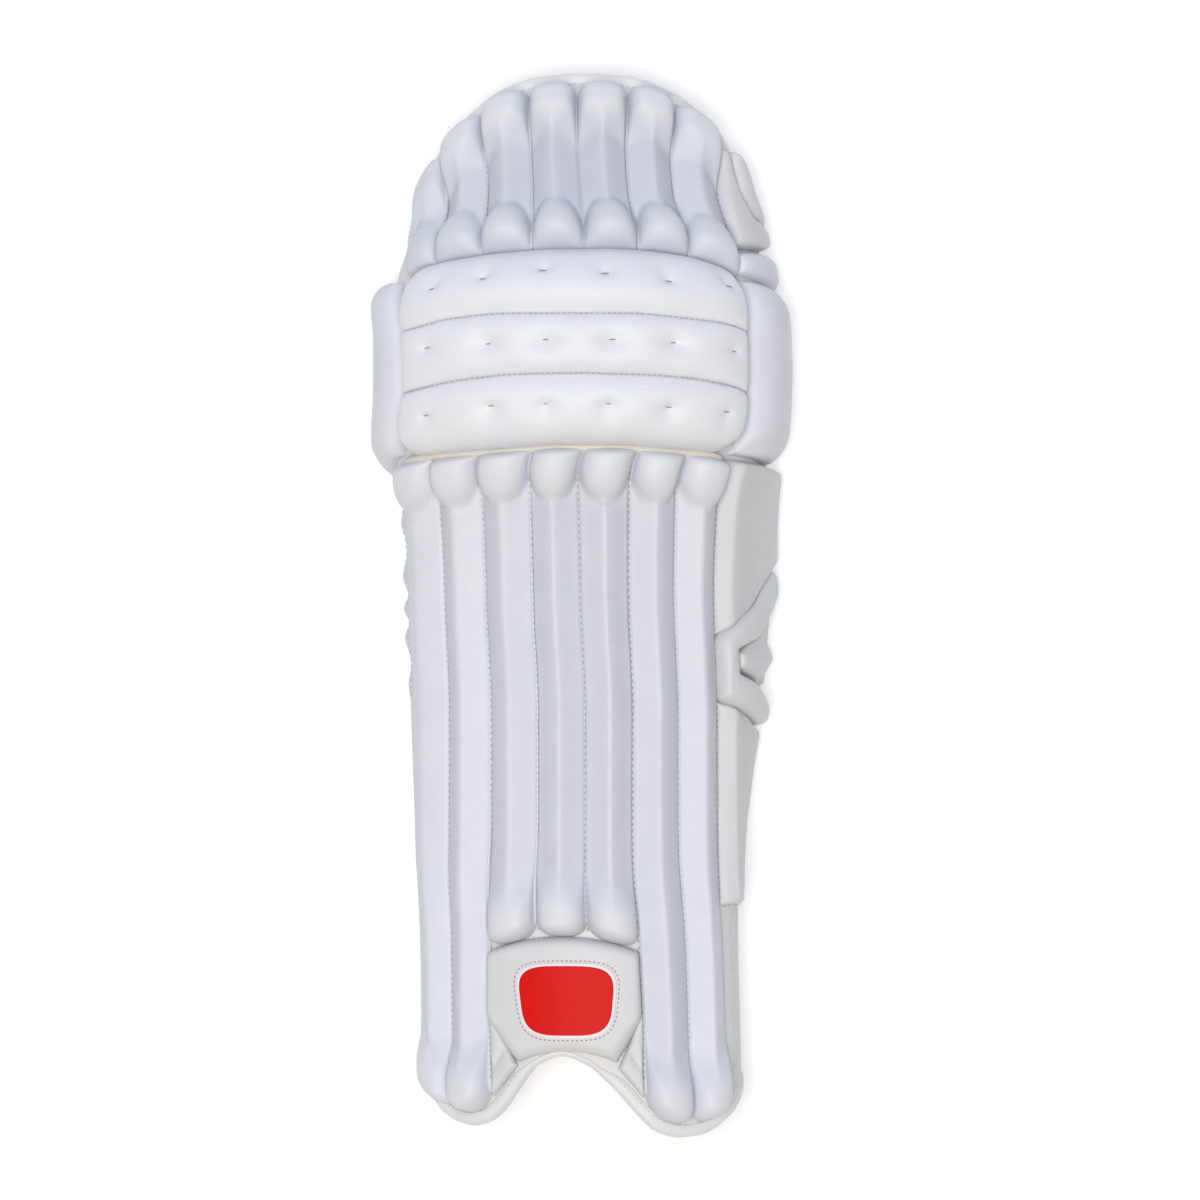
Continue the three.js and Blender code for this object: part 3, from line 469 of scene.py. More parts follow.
def inflate(piece, pinned, stretch, pressure, cap):
    """Fills a sewn cover: its points that are free swell as cloth, by no more than cap.

    The leather is cut larger than its seams by stretch, so it puckers where it is held. Its mass and
    pressure are those of the cloth solver's points, which lie some 1.5 mm apart.
    """
    count = len(piece.data.vertices)
    rest = np.empty(count * 3)
    piece.data.vertices.foreach_get("co", rest)
    rest = rest.reshape(-1, 3)
    group = piece.vertex_groups.new(name="sewn")
    for k in np.nonzero(pinned)[0]:
        group.add([int(k)], 1.0, "REPLACE")
    piece.shape_key_add(name="Basis")
    cut = piece.shape_key_add(name="cut")
    middle = rest.mean(0)
    cut.data.foreach_set("co", ((rest - middle) * np.array(stretch) + middle).ravel())
    cut.value = 0
    cloth = piece.modifiers.new("fill", "CLOTH")
    cloth.settings.quality = 5
    cloth.settings.mass = 0.02
    cloth.settings.tension_stiffness = 15
    cloth.settings.compression_stiffness = 15
    cloth.settings.shear_stiffness = 5
    cloth.settings.bending_stiffness = 0.5
    cloth.settings.use_pressure = True
    cloth.settings.uniform_pressure_force = pressure
    cloth.settings.vertex_group_mass = "sewn"
    cloth.settings.rest_shape_key = cut
    cloth.settings.effector_weights.gravity = 0
    cloth.collision_settings.use_collision = False
    cloth.collision_settings.use_self_collision = False
    last = settings().inflate_frames
    cloth.point_cache.frame_start = 1
    cloth.point_cache.frame_end = last
    scene = bpy.context.scene
    for number in range(1, last + 1):
        scene.frame_set(number)
    filled = piece.evaluated_get(bpy.context.evaluated_depsgraph_get()).to_mesh()
    swollen = np.empty(count * 3)
    filled.vertices.foreach_get("co", swollen)
    moved = swollen.reshape(-1, 3) - rest
    size = np.linalg.norm(moved, axis=1, keepdims=True)
    moved *= np.minimum(1, cap / np.maximum(size, 1e-9))
    piece.modifiers.clear()
    piece.shape_key_clear()
    piece.vertex_groups.clear()
    piece.data.vertices.foreach_set("co", (rest + moved).ravel())
    piece.data.update()
    scene.frame_set(1)


def edge_pins(piece, rows, columns, extra=()):
    """Which points of a cover are sewn down: its edge, its underside and any extra ones."""
    pinned = np.ones(len(piece.data.vertices), bool)
    grid = np.zeros((rows, columns), bool)
    grid[0, :] = grid[-1, :] = grid[:, 0] = grid[:, -1] = True
    for row, column in extra:
        grid[row, column] = True
    pinned[:rows * columns] = grid.ravel()
    return pinned


def finish_piece(piece, material, nodes):
    """Gives a piece its material, body and slot, and the nodes it stands for."""
    piece.data.materials.clear()
    piece.data.materials.append(material)
    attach(piece, "root")
    if nodes:
        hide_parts(*nodes)


# Materials

def add_node(tree, kind, inputs=None, links=None, **values):
    """Adds a node: values set its options, inputs its sockets, and links join them to other nodes."""
    node = tree.nodes.new(kind)
    for name, value in values.items():
        setattr(node, name, value)
    for name, value in (inputs or {}).items():
        node.inputs[name].default_value = value
    for name, (source, socket) in (links or {}).items():
        tree.links.new(source.outputs[socket], node.inputs[name])
    return node


def new_material(name):
    """An empty material and its node tree."""
    material = bpy.data.materials.new(name)
    material.use_nodes = True
    material.node_tree.nodes.clear()
    return material, material.node_tree


def synthetic_leather(name, lit_and_shaded_tones, roughness=0.5, grain_mm=1.0, grain_depth=0.25):
    """Embossed polyurethane leather: satin, with a fine pebbled grain.

    Its three tones are its colours in the hollows, on low and on full padding; the darker hollow tone is
    painted shade and the lighter full tone painted light.
    """
    material, tree = new_material(name)
    place = add_node(tree, "ShaderNodeTexCoord")
    # The real grain is about 0.6 mm and too fine for the picture, so it is drawn a little coarser.
    grain = add_node(tree, "ShaderNodeTexVoronoi", {"Scale": 1 / (grain_mm * MM), "Randomness": 1.0},
                     {"Vector": (place, "Object")}, feature="SMOOTH_F1")
    # Soiling and slight yellowing come in patches of some 22 mm.
    soil = add_node(tree, "ShaderNodeTexNoise",
                    {"Scale": 1 / (22 * MM), "Detail": 3.0, "Roughness": 0.55},
                    {"Vector": (place, "Object")})
    # Handling creases are some 6 mm apart.
    crease = add_node(tree, "ShaderNodeTexNoise",
                      {"Scale": 1 / (6 * MM), "Detail": 4.0, "Roughness": 0.6, "Distortion": 0.6},
                      {"Vector": (place, "Object")})
    full = add_node(tree, "ShaderNodeAttribute", attribute_name="fullness")
    # Painted light and shade: the colour is darker where the padding is low and lighter where it is full,
    # by its fullness.
    light_and_shade_ramp = add_node(tree, "ShaderNodeValToRGB", links={"Fac": (full, "Fac")})
    stops = light_and_shade_ramp.color_ramp.elements
    stops[0].position, stops[0].color = 0.10, (*lit_and_shaded_tones[0], 1)
    stops[1].position, stops[1].color = 0.75, (*lit_and_shaded_tones[2], 1)
    low_padding = stops.new(0.45)
    low_padding.color = (*lit_and_shaded_tones[1], 1)
    patches = add_node(tree, "ShaderNodeValToRGB", links={"Fac": (soil, "Fac")})
    patches.color_ramp.elements[0].position = 0.30
    patches.color_ramp.elements[0].color = (0.965, 0.965, 0.972, 1)
    patches.color_ramp.elements[1].position = 0.72
    patches.color_ramp.elements[1].color = (1, 1, 1, 1)
    shade = add_node(tree, "ShaderNodeMix", {"Factor": 1.0},
                     data_type="RGBA", blend_type="MULTIPLY")
    tree.links.new(light_and_shade_ramp.outputs["Color"], shade.inputs["A"])
    tree.links.new(patches.outputs["Color"], shade.inputs["B"])
    polish = add_node(tree, "ShaderNodeMapRange",
                      {"From Min": 0.3, "From Max": 0.7, "To Min": roughness - 0.05,
                       "To Max": roughness + 0.06}, {"Value": (crease, "Fac")})
    low = add_node(tree, "ShaderNodeBump", {"Strength": 0.5, "Distance": 0.22 * MM},
                   {"Height": (crease, "Fac")})
    fine = add_node(tree, "ShaderNodeBump", {"Strength": grain_depth, "Distance": 0.10 * MM},
                    {"Height": (grain, "Distance"), "Normal": (low, "Normal")})
    shader = add_node(tree, "ShaderNodeBsdfPrincipled",
                      {"IOR": 1.46, "Specular IOR Level": 0.4, "Sheen Weight": 0.05,
                       "Sheen Roughness": 0.4},
                      {"Roughness": (polish, "Result"), "Normal": (fine, "Normal")})
    tree.links.new(shade.outputs["Result"], shader.inputs["Base Color"])
    add_node(tree, "ShaderNodeOutputMaterial", links={"Surface": (shader, "BSDF")})
    return material


def sewing_thread(name, colour):
    """Bonded polyester thread with a dull gloss, darker along its twist, which turns every 1.2 mm."""
    material, tree = new_material(name)
    place = add_node(tree, "ShaderNodeTexCoord")
    twist = add_node(tree, "ShaderNodeTexNoise", {"Scale": 1 / (1.2 * MM), "Detail": 2.0},
                     {"Vector": (place, "Object")})
    shade = add_node(tree, "ShaderNodeValToRGB", links={"Fac": (twist, "Fac")})
    shade.color_ramp.elements[0].color = [c * 0.8 for c in colour[:3]] + [1]
    shade.color_ramp.elements[1].color = list(colour[:3]) + [1]
    shader = add_node(tree, "ShaderNodeBsdfPrincipled",
                      {"IOR": 1.5, "Roughness": 0.6, "Sheen Weight": 0.2},
                      {"Base Color": (shade, "Color")})
    add_node(tree, "ShaderNodeOutputMaterial", links={"Surface": (shader, "BSDF")})
    return material


def moulded_badge(name, colour):
    """Moulded polyurethane with a soft gloss and a faint orange peel, whose dimples are 3 mm apart."""
    material, tree = new_material(name)
    place = add_node(tree, "ShaderNodeTexCoord")
    peel = add_node(tree, "ShaderNodeTexNoise", {"Scale": 1 / (3 * MM), "Detail": 2.0},
                    {"Vector": (place, "Object")})
    bump = add_node(tree, "ShaderNodeBump", {"Strength": 0.25, "Distance": 0.08 * MM},
                    {"Height": (peel, "Fac")})
    # Painted shade: the red is slightly darker in the dimples of the peel, where the bump sinks.
    shade = add_node(tree, "ShaderNodeValToRGB", links={"Fac": (peel, "Fac")})
    shade.color_ramp.elements[0].color = [c * 0.93 for c in colour[:3]] + [1]
    shade.color_ramp.elements[1].color = list(colour[:3]) + [1]
    shader = add_node(tree, "ShaderNodeBsdfPrincipled",
                      {"IOR": 1.5, "Roughness": 0.45, "Specular IOR Level": 0.1},
                      {"Base Color": (shade, "Color"), "Normal": (bump, "Normal")})
    add_node(tree, "ShaderNodeOutputMaterial", links={"Surface": (shader, "BSDF")})
    return material


def strap_webbing(name, colour):
    """Flat woven polyester webbing: ribs across its width every 1.4 mm and warp lines every 0.9 mm."""
    material, tree = new_material(name)
    place = add_node(tree, "ShaderNodeTexCoord")
    ribs = add_node(tree, "ShaderNodeTexWave",
                    {"Scale": 1 / (1.4 * MM * 2 * math.pi), "Distortion": 0.4},
                    {"Vector": (place, "Object")}, bands_direction="X")
    warp = add_node(tree, "ShaderNodeTexWave",
                    {"Scale": 1 / (0.9 * MM * 2 * math.pi), "Distortion": 0.3},
                    {"Vector": (place, "Object")}, bands_direction="Y")
    weave = add_node(tree, "ShaderNodeMath", links={0: (ribs, "Fac"), 1: (warp, "Fac")},
                     operation="MULTIPLY")
    bump = add_node(tree, "ShaderNodeBump", {"Strength": 0.7, "Distance": 0.3 * MM},
                    {"Height": (weave, "Value")})
    # Painted shade: the webbing is darker in the hollows of its weave, where the bump sinks.
    shade = add_node(tree, "ShaderNodeValToRGB", links={"Fac": (weave, "Value")})
    shade.color_ramp.elements[0].color = [c * 0.85 for c in colour[:3]] + [1]
    shade.color_ramp.elements[1].color = list(colour[:3]) + [1]
    shader = add_node(tree, "ShaderNodeBsdfPrincipled",
                      {"IOR": 1.5, "Roughness": 0.85, "Sheen Weight": 0.25},
                      {"Base Color": (shade, "Color"), "Normal": (bump, "Normal")})
    add_node(tree, "ShaderNodeOutputMaterial", links={"Surface": (shader, "BSDF")})
    return material


def studio_paper(name, colour, glow):
    """Seamless white background paper, evenly lit, with faint mottling some 25 mm across."""
    material, tree = new_material(name)
    place = add_node(tree, "ShaderNodeTexCoord")
    mottling = add_node(tree, "ShaderNodeTexNoise", {"Scale": 1 / (25 * MM), "Detail": 2.0},
                        {"Vector": (place, "Object")})
    shade = add_node(tree, "ShaderNodeValToRGB", links={"Fac": (mottling, "Fac")})
    shade.color_ramp.elements[0].color = [c * 0.99 for c in colour[:3]] + [1]
    shade.color_ramp.elements[1].color = list(colour[:3]) + [1]
    shader = add_node(tree, "ShaderNodeBsdfPrincipled",
                      {"Roughness": 0.95, "Specular IOR Level": 0.1, "Emission Color": colour,
                       "Emission Strength": glow}, {"Base Color": (shade, "Color")})
    add_node(tree, "ShaderNodeOutputMaterial", links={"Surface": (shader, "BSDF")})
    return material


# The hide's colours in the hollows, on low and on full padding: darker hollow tones are painted shade
# and lighter full ones painted light. These are copies of one white leather, each set lighter or darker
# for how light falls on its part, painted light and shade; the thigh rolls' darkest, bluest copy is
# painted shade. Rolls and canes are a cooler white than the bolsters, partly the hide's own tint and
# partly painted cool light, and the side wings, the lining and the binding are creamier.
LEATHER_TONES = {
    "cool_white_leather": ("#dcdfe5", "#e0e2e8", "#e9ebee"),
    "thigh_shaded_white_leather": ("#d2d6dd", "#d7dbe2", "#e3e6ea"),
    "white_leather": ("#d3d6dc", "#dcdee2", "#e2e3e5"),
    "instep_white_leather": ("#dfdfde", "#e0e1e1", "#e1e2e3"),
    "wing_white_leather": ("#d3d4d6", "#dcdddd", "#e3e4e4"),
    "rim_white_leather": ("#ebebea", "#ededed", "#ededed"),
    "cream_leather": ("#ddd8cd", "#ddd8cd", "#ddd8cd"),
}


def leather(name="white_leather"):
    """One of the pad's white leathers, made once."""
    found = bpy.data.materials.get(name)
    tint = np.array(settings().leather_colour)
    lit_and_shaded_tones = [np.array(linear(tone)[:3]) * tint for tone in LEATHER_TONES[name]]
    return found or synthetic_leather(name, lit_and_shaded_tones)


def white_thread():
    """The thread of most seams, made once."""
    found = bpy.data.materials.get("grey_white_thread")
    return found or sewing_thread("grey_white_thread", linear("#cfcfce"))


# Pieces

# The binding tape: how far it reaches in, how far it bulges past the rim, its thickness and the place
# across of the join in it at the top
TAPE_WIDTH = 5.5 * MM
TAPE_BULGE = 2.6 * MM
TAPE_THICKNESS = 1.0 * MM
TAPE_JOIN = 4.05
RIM_STEPS = 150


class PAD_OT_backing(bpy.types.Operator):
    """The curved backing with its lining, and the tape folded round its rim"""

    bl_idname = "pad.backing"
    bl_label = "Backing and Binding"

    def execute(self, context):
        wall = np.linspace(0, 1, 17)[1:]
        columns = np.concatenate([-wall[::-1], np.linspace(0, CANES, 64), CANES + wall])
        across, share = np.meshgrid(columns, np.linspace(0, 1, RIM_STEPS))
        along = rim_along(across, share)
        front = raised_points(across, along, np.full(across.shape, -0.1 * MM))
        back = raised_points(across, along, np.full(across.shape, -BACKING_WALL))
        front[..., 2] = np.maximum(front[..., 2], 0)
        back[..., 2] = np.maximum(back[..., 2], 0)
        back[:, 0, 2] = back[:, -1, 2] = front[:, 0, 2] = front[:, -1, 2] = 0
        points = np.concatenate([front.reshape(-1, 3), back.reshape(-1, 3)])
        shell = mesh_object("backing", points, sheet_faces(*across.shape))
        outward(shell)
        finish_piece(shell, leather("instep_white_leather"), ["backing_shell"])
        self.binding(columns)
        return {"FINISHED"}

    def binding(self, columns):
        """The tape, as sections that follow each other all the way round the rim"""
        path = [(c, 0.0) for c in columns]
        path += [(OUTER_FOOT, s) for s in np.linspace(0, 1, RIM_STEPS)[1:-1]]
        path += [(c, 1.0) for c in columns[::-1]]
        path += [(-1.0, s) for s in np.linspace(1, 0, RIM_STEPS)[1:-1]]
        across = np.array([p[0] for p in path])
        share = np.array([p[1] for p in path])
        # At the top of the arch the tape runs under the instep panel.
        covered = smoothstep(2.35, 2.75, across) * (1 - smoothstep(4.15, 4.55, across)) * (share == 0)
        tape = (TAPE_WIDTH * (1 - 0.85 * covered))[:, None]
        join = np.exp(-((across - TAPE_JOIN) / 0.06) ** 2) * (share == 1)
        fold_width = (TAPE_BULGE * (1 - 0.75 * join))[:, None]
        along = rim_along(across, share)
        rim = surface_points(across, along)
        normal = surface_normals(across, along)
        following = np.roll(rim, -1, axis=0) - np.roll(rim, 1, axis=0)
        following /= np.linalg.norm(following, axis=1, keepdims=True)
        inward = np.cross(normal, following)
        inward /= np.linalg.norm(inward, axis=1, keepdims=True)
        for _ in range(6):
            inward = (np.roll(inward, 1, axis=0) + 2 * inward + np.roll(inward, -1, axis=0)) / 4
            inward /= np.linalg.norm(inward, axis=1, keepdims=True)
        half = BACKING_WALL / 2
        rings = []
        for turn in np.linspace(0, math.pi, 9):
            reach = (half + TAPE_THICKNESS) * math.cos(turn)
            bulge = fold_width * math.sin(turn)
            rings.append(rim - normal * half + normal * reach - inward * bulge)
        front_leg = rim + inward * tape + normal * TAPE_THICKNESS
        back_leg = rim + inward * tape - normal * (BACKING_WALL + TAPE_THICKNESS)
        tuck_front = rim + inward * (tape + 0.5 * MM) - normal * 0.2 * MM
        tuck_back = rim + inward * (tape + 0.5 * MM) - normal * (BACKING_WALL - 0.2 * MM)
        rings = [tuck_front, front_leg, *rings, back_leg, tuck_back]
        points = np.stack(rings, axis=1)
        points[..., 2] = np.maximum(points[..., 2], 0.05 * MM)
        count, around = points.shape[:2]
        faces = []
        for k in range(count):
            n = (k + 1) % count
            for i in range(around):
                m = (i + 1) % around
                faces.append((k * around + i, k * around + m, n * around + m, n * around + i))
        piece = mesh_object("rim_binding", points.reshape(-1, 3), faces)
        outward(piece)
        finish_piece(piece, leather("rim_white_leather"), ["edge_binding"])


# A knuckle's dome: how softly it meets the ridge, its width in canes and the power of its section
NOSE_SOFTNESS = 1.4 * MM
NOSE_WIDTH = 1.02
NOSE_POWER = 2.3

# Handling folds of the shin canes: share across the cane and distance in mm from its upper or lower end,
# then the fold's depth and width in mm
CANE_FOLDS = {
    (0, "high"): (((0.02, 43), (0.2, 42), (0.50, 39), 1.8, 1.5),),
    (4, "high"): (((0.25, 35), (0.5, 39), (0.78, 35), 1.4, 1.4),),
    (1, "high"): (((0.55, 36), (0.7, 37), (0.85, 35), 0.8, 1.3),),
    (0, "low"): (((0.05, 45), (0.35, 40), (0.7, 31), 2.2, 2.2),),
    (5, "low"): (((0.50, 47), (0.72, 43), (0.95, 44), 1.0, 1.6),),
}
CANE_WIDTH = 31 * MM


def cane_cover(name, number, ends):
    """A cane or thigh roll between two seams, with a rounded form at each end."""
    rows, columns = ends["rows"], 27
    b = np.linspace(0, 1, rows)[:, None]
    edge = (1 - np.cos(np.linspace(0, math.pi, columns))) / 2
    a = mix(np.linspace(0, 1, columns), edge, 0.45)[None, :]
    middle = number + 0.5
    rough = mix(ends["bottom"](np.array(middle), 0.5), ends["top"](np.array(middle), 0.5), b)
    start = seam_across(number, rough)
    if number == 0 and ends["kind"] == "roll":
        start = np.full_like(rough, ROLL_SIDE_RIM)
    finish = seam_across(number + 1, rough)
    across = mix(start, finish, mix(0.006, 0.994, a))
    low, high = ends["bottom"](across, a), ends["top"](across, a)
    along = mix(low, high, b)
    s_low = (along - low) * PAD_LENGTH
    s_high = (high - along) * PAD_LENGTH
    fullness = ends["fullness"][number]
    pads = settings()
    u = np.abs(2 * a - 1)
    crest = pads.cane_rise * fullness
    rise = SEAM_RISE + (crest - SEAM_RISE) * roof(a) * np.ones_like(b)
    for distance, form in ((s_low, ends["low"]), (s_high, ends["high"])):
        height = form["rise"] * fullness - SEAM_RISE
        if form["nose"]:
            run = np.clip((distance - form["plateau"]) / (form["length"] - form["plateau"]), 0, 1)
            bulge = np.sqrt(np.clip(1 - (u / NOSE_WIDTH) ** NOSE_POWER - run ** form["nose"], 0, 1))
            rise = soft_max(rise, SEAM_RISE + height * bulge, NOSE_SOFTNESS) - NOSE_SOFTNESS * 0.12
        else:
            fade = 1 - smoothstep(form["plateau"], form["length"], distance)
            rise = mix(rise, SEAM_RISE + height * dome(a, form["fill"]), fade)
    for distance, form in ((s_low, ends["low"]), (s_high, ends["high"])):
        tuck = round_edge(distance, form["tuck"])
        rise = mix(1.2 * MM, rise, tuck)
        pucker = ripple((2 * a - 1) * form["puckers"] + 0.3 * number, number + 1.7)
        near = np.exp(-distance / form["pucker_reach"])
        rise = rise + form["pucker_depth"] * pucker * near * dome(a) * tuck
    if ends["kind"] == "cane":
        for end, distance in (("low", s_low), ("high", s_high)):
            for *path, depth, width in CANE_FOLDS.get((number, end), ()):
                run = [(x * CANE_WIDTH, y * MM) for x, y in path]
                rise = rise - depth * MM * fold_depth(a * CANE_WIDTH, distance, run, width * MM)
    side = round_edge(np.minimum(a, 1 - a) * CANE_WIDTH, 1.6 * MM)
    rise = mix(0.8 * MM, rise, side)
    swell = unevenness(across * CANE_WIDTH, along * PAD_LENGTH, 11 * MM, number + 0.4)
    rise = rise + 0.12 * MM * swell * dome(a)
    return cover(name, across, along, rise)


RIM_MARGIN = 5.7 * MM / PAD_LENGTH
ROLL_MARGIN = 7.6 * MM / PAD_LENGTH

# The instep panel: the seams that it lies between, its upper edge and how far that edge is bowed
INSTEP_SEAMS = (2, 5)
INSTEP_TOP = 0.172
INSTEP_BOW = 0.014


def scallop(a, depth):
    """How far a rounded end draws back from its line beside the seams, along the pad."""
    return depth * (1 - dome(a, 2.6)) / PAD_LENGTH


def instep_line(across):
    """Place along of the instep panel's bowed upper edge."""
    start, finish = (seam_across(number, np.array(INSTEP_TOP)) for number in INSTEP_SEAMS)
    a = (across - start) / (finish - start)
    return INSTEP_TOP + INSTEP_BOW * (1 - (2 * a - 1) ** 2)


KNUCKLE_GAP = 1.2 * MM


class PAD_OT_canes(bpy.types.Operator):
    """The seven shin canes under the knee roll"""

    bl_idname = "pad.canes"
    bl_label = "Shin Canes"

    def execute(self, context):
        pads = settings()
        for number in range(CANES):
            if INSTEP_SEAMS[0] <= number < INSTEP_SEAMS[1]:
                def bottom(across, a):
                    return instep_line(across) + scallop(a, 10 * MM) + 0.2 * MM / PAD_LENGTH
            else:
                def bottom(across, a):
                    return smooth_column(RIM_BOTTOM, "along", across) + RIM_MARGIN + scallop(a, 9 * MM)

            def top(across, a):
                return knee_line("foot", across) - KNUCKLE_GAP / PAD_LENGTH + 0 * a

            ends = {
                "kind": "cane", "rows": 210, "bottom": bottom, "top": top, "fullness": CANE_FULLNESS,
                "low": {"nose": None, "rise": pads.bulb_rise, "plateau": 16 * MM, "length": 46 * MM,
                        "fill": 2.5, "tuck": 10 * MM,
                        "puckers": 2.5, "pucker_depth": 0.15 * MM, "pucker_reach": 4 * MM},
                "high": {"nose": 2.0, "rise": pads.knuckle_rise, "plateau": 9 * MM, "length": 37 * MM,
                         "tuck": 5 * MM,
                         "puckers": 3.0, "pucker_depth": 0.15 * MM, "pucker_reach": 4 * MM},
            }
            piece = cane_cover(f"shin_cane_cover_{number + 1}", number, ends)
            finish_piece(piece, leather("cool_white_leather"), [f"shin_cane_{number + 1}"])
        return {"FINISHED"}


THIGH_BULB_SHARE = 1.2


class PAD_OT_rolls(bpy.types.Operator):
    """The seven rolls that guard the thigh, above the knee roll"""

    bl_idname = "pad.rolls"
    bl_label = "Thigh Rolls"

    def execute(self, context):
        pads = settings()

        def bottom(across, a):
            return knee_line("top", across) + 0.1 * MM / PAD_LENGTH + 0 * a

        def top(across, a):
            return smooth_column(RIM_TOP, "along", across) - ROLL_MARGIN - scallop(a, 8 * MM)

        for number in range(CANES):
            ends = {
                "kind": "roll", "rows": 84, "bottom": bottom, "top": top, "fullness": ROLL_FULLNESS,
                "low": {"nose": 1.9, "rise": pads.knuckle_rise, "plateau": 5 * MM, "length": 33 * MM,
                        "tuck": 15 * MM,
                        "puckers": 3.5, "pucker_depth": 0.5 * MM, "pucker_reach": 5.5 * MM},
                "high": {"nose": None, "rise": THIGH_BULB_SHARE * pads.bulb_rise, "plateau": 13 * MM,
                         "length": 37 * MM, "fill": 3.8, "tuck": 8 * MM,
                         "puckers": 2.0, "pucker_depth": 0.1 * MM, "pucker_reach": 4 * MM},
            }
            piece = cane_cover(f"thigh_roll_cover_{number + 1}", number, ends)
            # The rolls' leather is a darker, bluer copy of the white leather: painted shade and painted
            # cool light.
            finish_piece(piece, leather("thigh_shaded_white_leather"), [f"thigh_roll_{number + 1}"])
        return {"FINISHED"}


# Tufting stitches of the bolsters: place along each bolster, as a share, and up it
TUFTS = {
    "lower": ((0.128, 0.55), (0.304, 0.58), (0.442, 0.57), (0.598, 0.565), (0.75, 0.55), (0.907, 0.58)),
    "middle": ((0.122, 0.62), (0.292, 0.52), (0.439, 0.56), (0.605, 0.56), (0.758, 0.56), (0.926, 0.57)),
    "upper": ((0.133, 0.53), (0.271, 0.58), (0.428, 0.66), (0.592, 0.61), (0.757, 0.54), (0.929, 0.63)),
}

# Handling folds of the bolsters: where each starts, turns and ends, as shares, then its depth and width
# in mm
BOLSTER_FOLDS = {
    "lower": (
        ((0.205, 0.02), (0.185, 0.12), (0.17, 0.22), 0.35, 1.2),
        ((0.225, 0.03), (0.21, 0.13), (0.20, 0.20), 0.3, 1.0),
        ((0.755, 0.10), (0.775, 0.20), (0.79, 0.30), 0.35, 1.1),
        ((0.775, 0.06), (0.795, 0.15), (0.815, 0.24), 0.3, 1.0),
    ),
    "middle": (((0.93, 0.02), (0.945, 0.16), (0.955, 0.3), 0.3, 1.2),),
    "upper": (
        ((0.302, 0.93), (0.268, 0.56), (0.249, 0.03), 0.55, 1.3),
        ((0.30, 0.75), (0.275, 0.64), (0.262, 0.52), 0.4, 1.0),
        ((0.955, 0.62), (0.945, 0.4), (0.935, 0.25), 0.35, 1.1),
    ),
}


def fold_depth(x, y, path, width):
    """How near points lie to a bent line, from 1 on it to 0 away from it, faint at its two ends."""
    nearest = np.full(np.broadcast(x, y).shape, 1e9)
    strength = np.zeros_like(nearest)
    legs = len(path) - 1
    for k, ((x0, y0), (x1, y1)) in enumerate(zip(path[:-1], path[1:])):
        length = math.hypot(x1 - x0, y1 - y0)
        t = np.clip(((x - x0) * (x1 - x0) + (y - y0) * (y1 - y0)) / length ** 2, 0, 1)
        gap = np.hypot(x - x0 - t * (x1 - x0), y - y0 - t * (y1 - y0))
        closer = gap < nearest
        nearest = np.where(closer, gap, nearest)
        fade = np.sin(math.pi * np.clip((k + t) / legs, 0.04, 0.96)) ** 0.5
        strength = np.where(closer, fade, strength)
    return strength * np.exp(-(nearest / width) ** 2)


# Each bolster, and the knee lines below and above it
BOLSTERS = (("lower", "foot", "lower"), ("middle", "lower", "upper"), ("upper", "upper", "top"))

# Heights of the bolsters' two long edges off the backing and the radii that lead up from them, in mm.
# The rolls share one bed of foam, so the seams between them are shallow.
BOLSTER_FORMS = {
    "lower": {"low": 3, "low_radius": 22, "high": 25.5, "high_radius": 11},
    "middle": {"low": 25.5, "low_radius": 10, "high": 26, "high_radius": 10},
    "upper": {"low": 26, "low_radius": 8, "high": 3, "high_radius": 26},
}
BOLSTER_LENGTH = 232 * MM
CREASE_DEPTH = 1.1 * MM
BOLSTER_SEAM_RISE = 25 * MM
STRIP_RISE = 9.5 * MM
TUFT_DEPTH = 4.4 * MM
TUFT_REACH = 5.2 * MM
TUFT_HALF = 2.4 * MM


def bolster_grid(low, high, b, a):
    """Places across and along for shares b of a bolster's length and a of its width."""
    level = mix(knee_line(low, CANES * b), knee_line(high, CANES * b), a)
    inner = smooth_column(BOLSTER_ENDS, "inner", level)
    outer = smooth_column(BOLSTER_ENDS, "outer", level)
    across = mix(inner, CANES - outer, b)
    gap = 0.04 * MM / PAD_LENGTH
    return across, mix(knee_line(low, across) + gap, knee_line(high, across) - gap, a)


def bolster_ends(reach):
    """How full a bolster is at a distance in from its nearer end."""
    return mix(0.30, 1, round_edge(reach, 34 * MM)) * mix(0.5, 1, round_edge(reach, 3 * MM))


